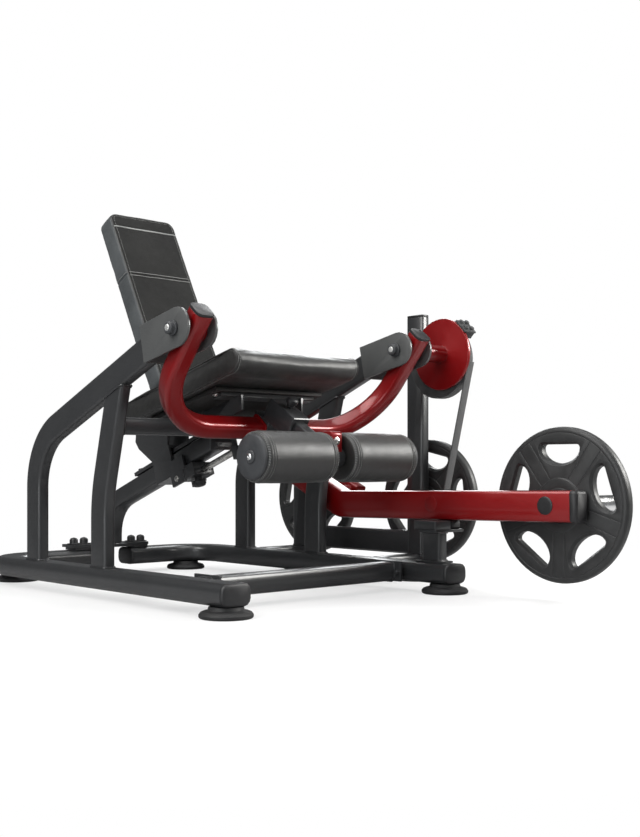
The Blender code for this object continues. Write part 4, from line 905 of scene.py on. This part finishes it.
# ------------------------------------------------- roller arm, in three finishes
HUB = Vector((0, 0.100, 0.535))
stem = Vector((0, ROLL_Y, ROLL_Z)) - HUB
along = stem.normalized()
mesh = bmesh.new()
tube(mesh, [HUB - along * 0.056, HUB + along * stem.length],
     rounded(0.0400, 0.0400, 0.005, 4), (1, 0, 0))
turned(mesh, [(0.0, 0.0), (0.0, 0.0255), (0.0015, 0.0270), (0.0575, 0.0270),
              (0.0590, 0.0255), (0.0590, 0.0)], (-0.0295, ROLL_Y, ROLL_Z), (1, 0, 0), 48)
make("roller_stem", mesh, "frame", "roller_carrier", replaces="roller_arm")
make_turned("roller_axle",
            [(0.0, 0.0), (0.0, 0.0115), (0.0010, SHAFT_R), (0.5930, SHAFT_R),
             (0.5940, 0.0115), (0.5940, 0.0)],
            (-0.2970, ROLL_Y, ROLL_Z), (1, 0, 0), 32, "steel", "roller_carrier", 35.0)

# upright block over the axle, its top corners rounded
mesh = bmesh.new()
prism(mesh, [(ROLL_Y + 0.022, ROLL_Z + 0.004),
             *arc(ROLL_Y + 0.016, ROLL_Z + 0.067, 0.006, 0.006, 0, 90, 6),
             *arc(ROLL_Y - 0.012, ROLL_Z + 0.063, 0.010, 0.010, 90, 90, 6),
             (ROLL_Y - 0.022, ROLL_Z + 0.060), (ROLL_Y - 0.022, ROLL_Z + 0.004)],
      -0.0195, 0.0195)
bmesh.ops.recalc_face_normals(mesh, faces=mesh.faces[:])
rims = [edge for edge in mesh.edges if abs(edge.verts[0].co.x - edge.verts[1].co.x) < 1e-7]
bmesh.ops.bevel(mesh, geom=rims, offset=0.0016, segments=2, profile=0.5, affect="EDGES")
make("roller_upstand", mesh, "red", "roller_carrier", 40.0)
make_turned("roller_upstand_bolt",
            [(-0.0008, 0.0), (-0.0008, 0.0110), (0.0006, 0.0112), (0.0012, 0.0080),
             (0.0046, 0.0074), (0.0062, 0.0050), (0.0064, 0.0)],
            (0, ROLL_Y - 0.022, ROLL_Z + 0.046), (0, -1, 0), 28, "silver", "roller_carrier")

# --------------------------------------------------------------- free belt run
STRAP_LO = Vector((0.6085, 0.0, 0.3145))
STRAP_HI = Vector((0.6085, -0.0997, 0.7196))
mesh = bmesh.new()
tube(mesh, [STRAP_LO.lerp(STRAP_HI, i / 40) for i in range(41)],
     rounded(0.0310, 0.0040, 0.0012, 3), (1, 0, 0))
strap = make("belt_free_run", mesh, "belt", replaces="belt_strap")
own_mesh(strap)

# ------------------------------------------------------------------ cushions
PUFF_FRAMES = 20
CLOTH = {"quality": 6, "mass": 0.3, "air_damping": 2.0,
         "tension_stiffness": 14.0, "compression_stiffness": 14.0,
         "shear_stiffness": 5.0, "bending_stiffness": 0.6, "use_pressure": True}


def inflate(obj, pressure, limit, held):
    """Moves the mesh by a cloth simulation, no vertex further than the limit."""
    data = obj.data
    group = obj.vertex_groups.new(name="pin")
    group.add([vertex.index for vertex in data.vertices if held(vertex.co)], 1.0, "REPLACE")
    cloth = obj.modifiers.new("cloth", "CLOTH")
    settings = cloth.settings
    for key, value in CLOTH.items():
        setattr(settings, key, value)
    settings.uniform_pressure_force = pressure
    settings.effector_weights.gravity = 0.0
    settings.vertex_group_mass, settings.pin_stiffness = "pin", 1.0
    cloth.collision_settings.use_collision = False
    cloth.point_cache.frame_start, cloth.point_cache.frame_end = 1, PUFF_FRAMES
    for i in range(1, PUFF_FRAMES + 1):
        SCENE.frame_set(i)
    graph = bpy.context.evaluated_depsgraph_get()
    moved = [vertex.co.copy() for vertex in obj.evaluated_get(graph).to_mesh().vertices]
    obj.evaluated_get(graph).to_mesh_clear()
    obj.modifiers.clear()
    SCENE.frame_set(1)
    for vertex, place in zip(data.vertices, moved):
        move = place - vertex.co
        if move.length > limit:
            move *= limit / move.length
        vertex.co = vertex.co + move


def puff(mesh, voxel, pressure, limit, held):
    """Voxel remesh, then cloth pressure with the seams and the base held."""
    base = link("tmp", to_data(mesh))
    remesh = base.modifiers.new("remesh", "REMESH")
    remesh.mode, remesh.voxel_size = "VOXEL", voxel
    remesh.adaptivity, remesh.use_smooth_shade = 0.0, True
    data = baked(base)
    drop(base)
    obj = link("tmp", data)
    inflate(obj, pressure, limit, held)
    smooth = obj.modifiers.new("smooth", "SMOOTH")
    smooth.factor, smooth.iterations = 0.5, 4
    divide = obj.modifiers.new("divide", "SUBSURF")
    divide.levels = divide.render_levels = 1
    data = baked(obj)
    drop(obj)
    return data


def near(paths, step=0.003):
    """A function that gives the distance to the nearest of some polylines."""
    points = [place for path in paths for place in resample(path, step)]
    tree = KDTree(len(points))
    for i, place in enumerate(points):
        tree.insert(place, i)
    tree.balance()
    return lambda place: tree.find(place)[2]


def displace(data, move):
    """Shifts each vertex by move(place, normal)."""
    normals = [vertex.normal.copy() for vertex in data.vertices]
    for vertex, normal in zip(data.vertices, normals):
        vertex.co += move(vertex.co, normal)
    data.update()


def groove(data, paths, depth, width):
    distance = near(paths, 0.0015)

    def sink(place, normal):
        gap = distance(place)
        if gap >= width * 3:
            return Vector()
        return normal * -depth * math.exp(-(gap / width) ** 2)

    displace(data, sink)


def wrinkle(data, size, depth, seed, mask=lambda place: 1.0):
    offset = Vector((seed, seed, seed))
    displace(data, lambda place, normal:
             normal * depth * mask(place) * noise.noise(place / size + offset))


def surface_of(data):
    return BVHTree.FromPolygons([vertex.co for vertex in data.vertices],
                                [face.vertices for face in data.polygons])


def onto(surface, points, lift=0.0):
    """Points moved to the nearest place on the surface, with the normals there."""
    hits = [surface.find_nearest(place) for place in points]
    return [hit[0] + hit[1] * lift for hit in hits], [hit[1] for hit in hits]


def pipe(mesh, surface, points, lift, radius, rounds, closed=False):
    """A cord laid on the surface and smoothed a number of rounds."""
    points = onto(surface, points, lift)[0]
    count = len(points)
    for _ in range(rounds):
        new = list(points)
        for i in range(0 if closed else 1, count if closed else count - 1):
            new[i] = (points[i - 1] + points[i] * 2 + points[(i + 1) % count]) / 4
        points = new
    cord(mesh, points, radius, closed)


def sew(mesh, surface, line, pitch, radius, fill=0.66, closed=False):
    """A row of stitches laid on the surface."""
    points, normals = onto(surface, resample(line, pitch, closed))
    if closed:
        points.append(points[0])
    stitch_row(mesh, points, normals, radius, fill)


# ---- seat: boxed cushion with a rolled front and piped side seams
HALF_T = SEAT_T / 2


def seat_outline(inset):
    """Side view as (distance back, height off the top)."""
    foot, top = 0.014, 0.026      # radii of the rear corners
    return (arc(0.012, -HALF_T, HALF_T * 1.05 - inset, HALF_T - inset, 90, 180, 28)
            + arc(SEAT_LEN - foot, -SEAT_T + foot, foot - inset, foot - inset, 270, 90, 6)
            + arc(SEAT_LEN - top, -top, top - inset, top - inset, 0, 90, 8))


def seat_profile(x, inset):
    return [seat_pt(x, back, above) for back, above in seat_outline(inset)]


def seat_base():
    half = SEAT_W / 2
    # (distance in from the side, inset of the outline)
    ends = [(0.003, 0.0130), (0.0035, 0.0070), (0.0080, 0.0045), (0.020, 0.0035)]
    spans = [(-half + step, inset) for step, inset in ends]
    spans += [(x, 0.0035) for x in (-0.10, 0.0, 0.10)]
    spans += [(half - step, inset) for step, inset in reversed(ends)]
    mesh = bmesh.new()
    skin(mesh, [seat_profile(x, inset) for x, inset in spans])
    return mesh


seams = [seat_profile(sign * (SEAT_W / 2 - 0.0045), 0.0045) for tag, sign in SIDES]
seam_distance = near(seams)


def seat_held(place):
    x, back, above = seat_local(place)
    underside = above < -SEAT_T + 0.012 and 0.05 < back < SEAT_LEN - 0.02
    return underside or seam_distance(place) < 0.0065


def seat_fold(place):
    """Wrinkles are strongest along the sides and the front."""
    x, back, above = seat_local(place)
    side = max(0.0, (abs(x) - SEAT_W / 2 + 0.060) / 0.060)
    front = max(0.0, 1.0 - abs(back - 0.01) / 0.07)
    return min(1.0, 0.25 + side * 0.9 + front * 0.35)


data = puff(seat_base(), voxel=0.0055, pressure=4.2, limit=0.0105, held=seat_held)
groove(data, seams, depth=0.0022, width=0.0032)
wrinkle(data, size=0.055, depth=0.0026, seed=3.1, mask=seat_fold)
wrinkle(data, size=0.018, depth=0.0007, seed=7.7, mask=seat_fold)
surface = surface_of(data)
add_piece("seat_cushion", data, "upholstery", angle=70.0, replaces="seat_pad")
mesh = bmesh.new()
for seam in seams:
    pipe(mesh, surface, resample(seam[:-1], 0.0045), lift=0.0006, radius=0.0027, rounds=4,
         closed=True)
make("seat_piping", mesh, "upholstery", angle=60.0)
mesh = bmesh.new()
for tag, sign in SIDES:
    line = seat_profile(sign * (SEAT_W / 2 - 0.0130), 0.001)[:-6]
    sew(mesh, surface, line, pitch=0.0055, radius=0.0006)
make("seat_stitching", mesh, "thread", angle=60.0)


# ---- back rest: front panel in three sewn sections, smooth side band
def back_outline(inset, out):
    """Front view of the back rest, at a distance out of its rear face."""
    half, top, foot = BACK_W / 2, 0.028, 0.020      # corner radii
    points = []
    for cx, cy, start, radius in ((half - top, BACK_LEN - top, 0, top),
                                  (-half + top, BACK_LEN - top, 90, top),
                                  (-half + foot, foot, 180, foot),
                                  (half - foot, foot, 270, foot)):
        points += arc(cx, cy, radius - inset, radius - inset, start, 90, 8)
    return [back_pt(x, rise, out) for x, rise in points]


def across(rise, out, margin):
    """A level line over the front panel."""
    return [back_pt(-BACK_W / 2 + margin + i * (BACK_W - 2 * margin) / 24, rise, out)
            for i in range(25)]


# (distance out of the rear face, inset of the outline)
BACK_STATIONS = ((0.0008, 0.0050), (0.0020, 0.0025), (0.0080, 0.0012), (BACK_T * 0.5, 0.0010),
                 (BACK_T - 0.0120, 0.0012), (BACK_T - 0.0055, 0.0022),
                 (BACK_T - 0.0025, 0.0060))
UPPER_SEAM, LOWER_SEAM = BACK_LEN - 0.056, BACK_LEN - 0.246
rim = back_outline(0.0034, BACK_T - 0.0038)
rim.append(rim[0])
upper = across(UPPER_SEAM, BACK_T - 0.002, 0.004)
lower = across(LOWER_SEAM, BACK_T - 0.002, 0.004)
bands = [[back_pt(sign * (BACK_W / 2 - 0.001), LOWER_SEAM + 0.001, BACK_T * i / 12)
          for i in range(13)] for tag, sign in SIDES]
hold_distance = near([rim, upper, lower] + bands)


def back_held(place):
    return back_local(place)[2] < 0.0065 or hold_distance(place) < 0.0060


def on_side_band(place):
    x, rise, out = back_local(place)
    return not (abs(x) < BACK_W / 2 - 0.0055 and 0.0055 < rise < BACK_LEN - 0.0055
                and out > BACK_T * 0.5)


mesh = bmesh.new()
skin(mesh, [back_outline(inset, out) for out, inset in BACK_STATIONS])
data = puff(mesh, voxel=0.0050, pressure=3.6, limit=0.0085, held=back_held)
groove(data, [rim], depth=0.0016, width=0.0028)
groove(data, [lower], depth=0.0030, width=0.0040)
groove(data, [upper], depth=0.0020, width=0.0060)
groove(data, bands, depth=0.0040, width=0.0034)
wrinkle(data, size=0.045, depth=0.0012, seed=1.7)
wrinkle(data, size=0.014, depth=0.0004, seed=5.2)
surface = surface_of(data)
# the side band gets a paler copy of the vinyl, its lighter colour a painted reflection: its faces
# are told by their place
band_faces = [on_side_band(face.center) for face in data.polygons]
cushion = add_piece("back_cushion", data, "back_front", "back_rest", 70.0, "back_pad")
cushion.data.materials.append(MATERIALS["side_band_painted_sheen"])
for face, on_band in zip(cushion.data.polygons, band_faces):
    face.material_index = int(on_band)

mesh = bmesh.new()
pipe(mesh, surface, resample(rim[:-1], 0.004, True), lift=0.0003, radius=0.0019, rounds=4,
     closed=True)
make("back_piping", mesh, "upholstery", "back_rest", 60.0)
mesh = bmesh.new()
pipe(mesh, surface, resample(upper, 0.004), lift=0.0006, radius=0.0028, rounds=3)
make("back_top_piping", mesh, "piping", "back_rest", 60.0)
mesh = bmesh.new()
for offset in (-0.0052, 0.0052):
    line = across(LOWER_SEAM + offset, BACK_T + 0.002, 0.010)
    sew(mesh, surface, line, pitch=0.0052, radius=0.0012, fill=0.80)
sew(mesh, surface, back_outline(0.0135, BACK_T + 0.002), pitch=0.0055, radius=0.0005,
    closed=True)
for tag, sign in SIDES:
    line = [back_pt(sign * (BACK_W / 2 + 0.003), LOWER_SEAM + 0.0065, BACK_T * i / 12)
            for i in range(1, 12)]
    sew(mesh, surface, line, pitch=0.0052, radius=0.0007)
make("back_stitching", mesh, "thread", "back_rest", 60.0)

# --------------------------------------------------------- small extra pieces
# round plug and a filled plug mark on the inner face of the lever
make_turned("lever_round_plug",
            [(0.0, 0.0255), (0.0010, 0.0262), (0.0022, 0.0250), (0.0030, 0.0215),
             (0.0034, 0.0120), (0.0035, 0.0)],
            (LEVER_FACE_X, HORN_Y, HORN_Z), (-1, 0, 0), 48, "plastic", "weight_arm")
make_turned("lever_filler_disc", [(0.0, 0.0245), (0.0006, 0.0248), (0.0010, 0.0238), (0.0011, 0.0)],
            (LEVER_FACE_X, -0.065, 0.272), (-1, 0, 0), 48, "red", "weight_arm")

# flanges where the yoke tubes meet the adjuster housing
mesh = bmesh.new()
for tag, sign in SIDES:
    ends = sorted((sign * (HOUSING_HALF + 0.0006), sign * (HOUSING_HALF + 0.0046)))
    tube(mesh, [(x, YOKE_Y, YOKE_Z) for x in ends], rounded(0.066, 0.068, 0.012, 4), ARM_RUN)
make("yoke_flanges", mesh, "red", "yoke")

# belt eye round the lever's anchor pin
make_turned("belt_eye", [(0.0, 0.0124), (0.0, 0.0165), (0.031, 0.0165), (0.031, 0.0124)],
            (0.593, 0.0, 0.2960), (1, 0, 0), 40, "belt", "weight_arm", closed=True)

# seat underside: button head bolts and washers
mesh = bmesh.new()
down = seat_pt(0, 0, -1) - seat_pt(0, 0, 0)
for x, back in ((-0.180, 0.160), (0.180, 0.160), (-0.180, 0.500), (0.180, 0.500)):
    turned(mesh, [(0.0, 0.0), (0.0, 0.0115), (0.0014, 0.0118), (0.0016, 0.0078),
                  (0.0044, 0.0072), (0.0064, 0.0046), (0.0066, 0.0)],
           seat_pt(x, back, -0.0904), down, 24)
make("seat_bolts", mesh, "silver", angle=40.0)

# end plug of the right half of the rear floor tube: (distance out, scale)
mesh = bmesh.new()
skin(mesh, [[Vector((HALF_END_R + out, REAR_Y, FLOOR_Z)) + Vector((0, a, b)) * scale
             for a, b in rounded(FLOOR_W, FLOOR_H, 0.021, 8)]
            for out, scale in ((0.0003, 1.0), (0.005, 0.995), (0.009, 0.94), (0.011, 0.80))])
make("rear_end_plug_right", mesh, "plastic", angle=50.0)

# bright centre of each knee bolt head, and the bolt on the back carriage's ear
mesh = bmesh.new()
for tag, sign in SIDES:
    turned(mesh, [(0.0, 0.0), (0.0, 0.0088), (0.0008, 0.0090), (0.0022, 0.0078), (0.0026, 0.0)],
           (sign * SIDE_X - BRACKET_W / 2 - 0.0199, 0, KNEE_Z), (-1, 0, 0), 32)
make("knee_bolt_faces", mesh, "bright", "yoke", 40.0)
make_turned("carriage_bolt",
            [(-0.0004, 0.0), (-0.0004, 0.0095), (0.0010, 0.0098), (0.0014, 0.0072),
             (0.0052, 0.0066), (0.0064, 0.0040), (0.0066, 0.0)],
            rail_pt(-0.0435, 0.050, -0.060), (-1, 0, 0), 24, "silver", "back_rest")


# ------------------------------------------------------ floor, light, camera
def floor_material():
    """Pale matt studio floor that fades into the white backdrop."""
    net = new_net("studio_floor")
    place = net.coords()
    tone = net.mix(net.noise(place, scale=1.3, detail=4.0, rough=0.5),
                   (0.80, 0.80, 0.80), (0.84, 0.84, 0.84))
    camera_ray = net.node("LightPath").outputs["Is Camera Ray"]
    # the camera sees a pale floor; bounced light sees a darker one, as in a shaded studio
    material = net.finish(
        Base_Color=net.mix(camera_ray, (0.40, 0.40, 0.405), tone),
        Roughness=0.75, Specular_IOR_Level=0.15,
        Normal=net.bump(net.noise(place, scale=260.0, detail=2.0), strength=0.04,
                        distance=0.0004))
    matt = net.tree.nodes["Principled BSDF"].outputs[0]
    glow = net.node("Emission", {"Strength": 1.0, "Color": (1, 1, 1)}).outputs[0]
    lifted = net.mix_shader(net.math("MULTIPLY", camera_ray, 0.62), matt, glow)
    length = net.node("VectorMath", {0: place}, operation="LENGTH").outputs["Value"]
    faded = net.mix_shader(net.remap(length, span=(1.15, 2.3)), lifted,
                           net.node("BsdfTransparent").outputs[0])
    net.plug(net.tree.nodes["Material Output"].inputs["Surface"], faded)
    return material


mesh = bmesh.new()
bmesh.ops.create_grid(mesh, x_segments=24, y_segments=24, size=2.4)
data = bpy.data.meshes.new("studio_floor")
mesh.to_mesh(data)
mesh.free()
data.materials.append(floor_material())
floor = link("studio_floor", data)
floor.location = (0, 0, -0.0004)

# white to the camera, a soft vertical gradient to everything else
world = bpy.data.worlds.new("studio")
SCENE.world = world
net = Net(world)
net.tree.nodes.clear()
normal = net.node("NewGeometry").outputs["Normal"]
height = net.node("SeparateXYZ", {0: normal}).outputs["Z"]
glow = net.remap(height, span=(-0.25, 0.9), to=(0.10, 0.42))
lit = net.node("Background", {"Color": (0.96, 0.98, 1.0), "Strength": glow}).outputs[0]
seen = net.node("Background", {"Color": (1, 1, 1), "Strength": 1.0}).outputs[0]
camera_ray = net.node("LightPath").outputs["Is Camera Ray"]
net.node("OutputWorld", {"Surface": net.mix_shader(camera_ray, lit, seen)})


def area(name, place, size, power, colour=(1, 1, 1)):
    """A rectangular light aimed at the middle of the machine."""
    light = bpy.data.lights.new(name, "AREA")
    light.shape, light.energy, light.color = "RECTANGLE", power, colour
    light.size, light.size_y = size
    obj = link(name, light)
    obj.location = place
    aim = Vector((0.0, 0.1, 0.5)) - Vector(place)
    obj.rotation_euler = aim.to_track_quat("-Z", "Y").to_euler()
    obj.visible_camera = False


area("key_softbox", place=(-2.4, 0.2, 3.0), size=(2.0, 2.4), power=105.0,
     colour=(1.0, 0.99, 0.97))
area("top_softbox", place=(0.3, -0.3, 3.4), size=(2.4, 2.4), power=60.0)
area("rim_softbox", place=(2.6, 2.2, 2.2), size=(1.4, 2.6), power=80.0,
     colour=(0.97, 0.99, 1.0))
area("front_strip", place=(-0.7, -3.4, 2.1), size=(2.6, 0.7), power=20.0)
area("side_fill", place=(-3.1, -1.1, 0.9), size=(1.8, 1.8), power=36.0,
     colour=(0.95, 0.98, 1.0))
area("roll_softbox", place=(2.2, -2.05, 1.70), size=(1.1, 1.1), power=105.0,
     colour=(1.0, 0.99, 0.96))

lens = bpy.data.cameras.new("photo_camera")
lens.sensor_width = 36.0
lens.lens = 49.4623656
lens.shift_y = 0.0567502987
lens.clip_start, lens.clip_end = 0.05, 200.0
camera = link("photo_camera", lens)
camera.location = Vector((-2.209, -2.450, 0.390)) + SHIFT
camera.rotation_euler = (RAD(90.0), 0.0, RAD(-42.7))
SCENE.camera = camera
SCENE.view_settings.view_transform = "Standard"
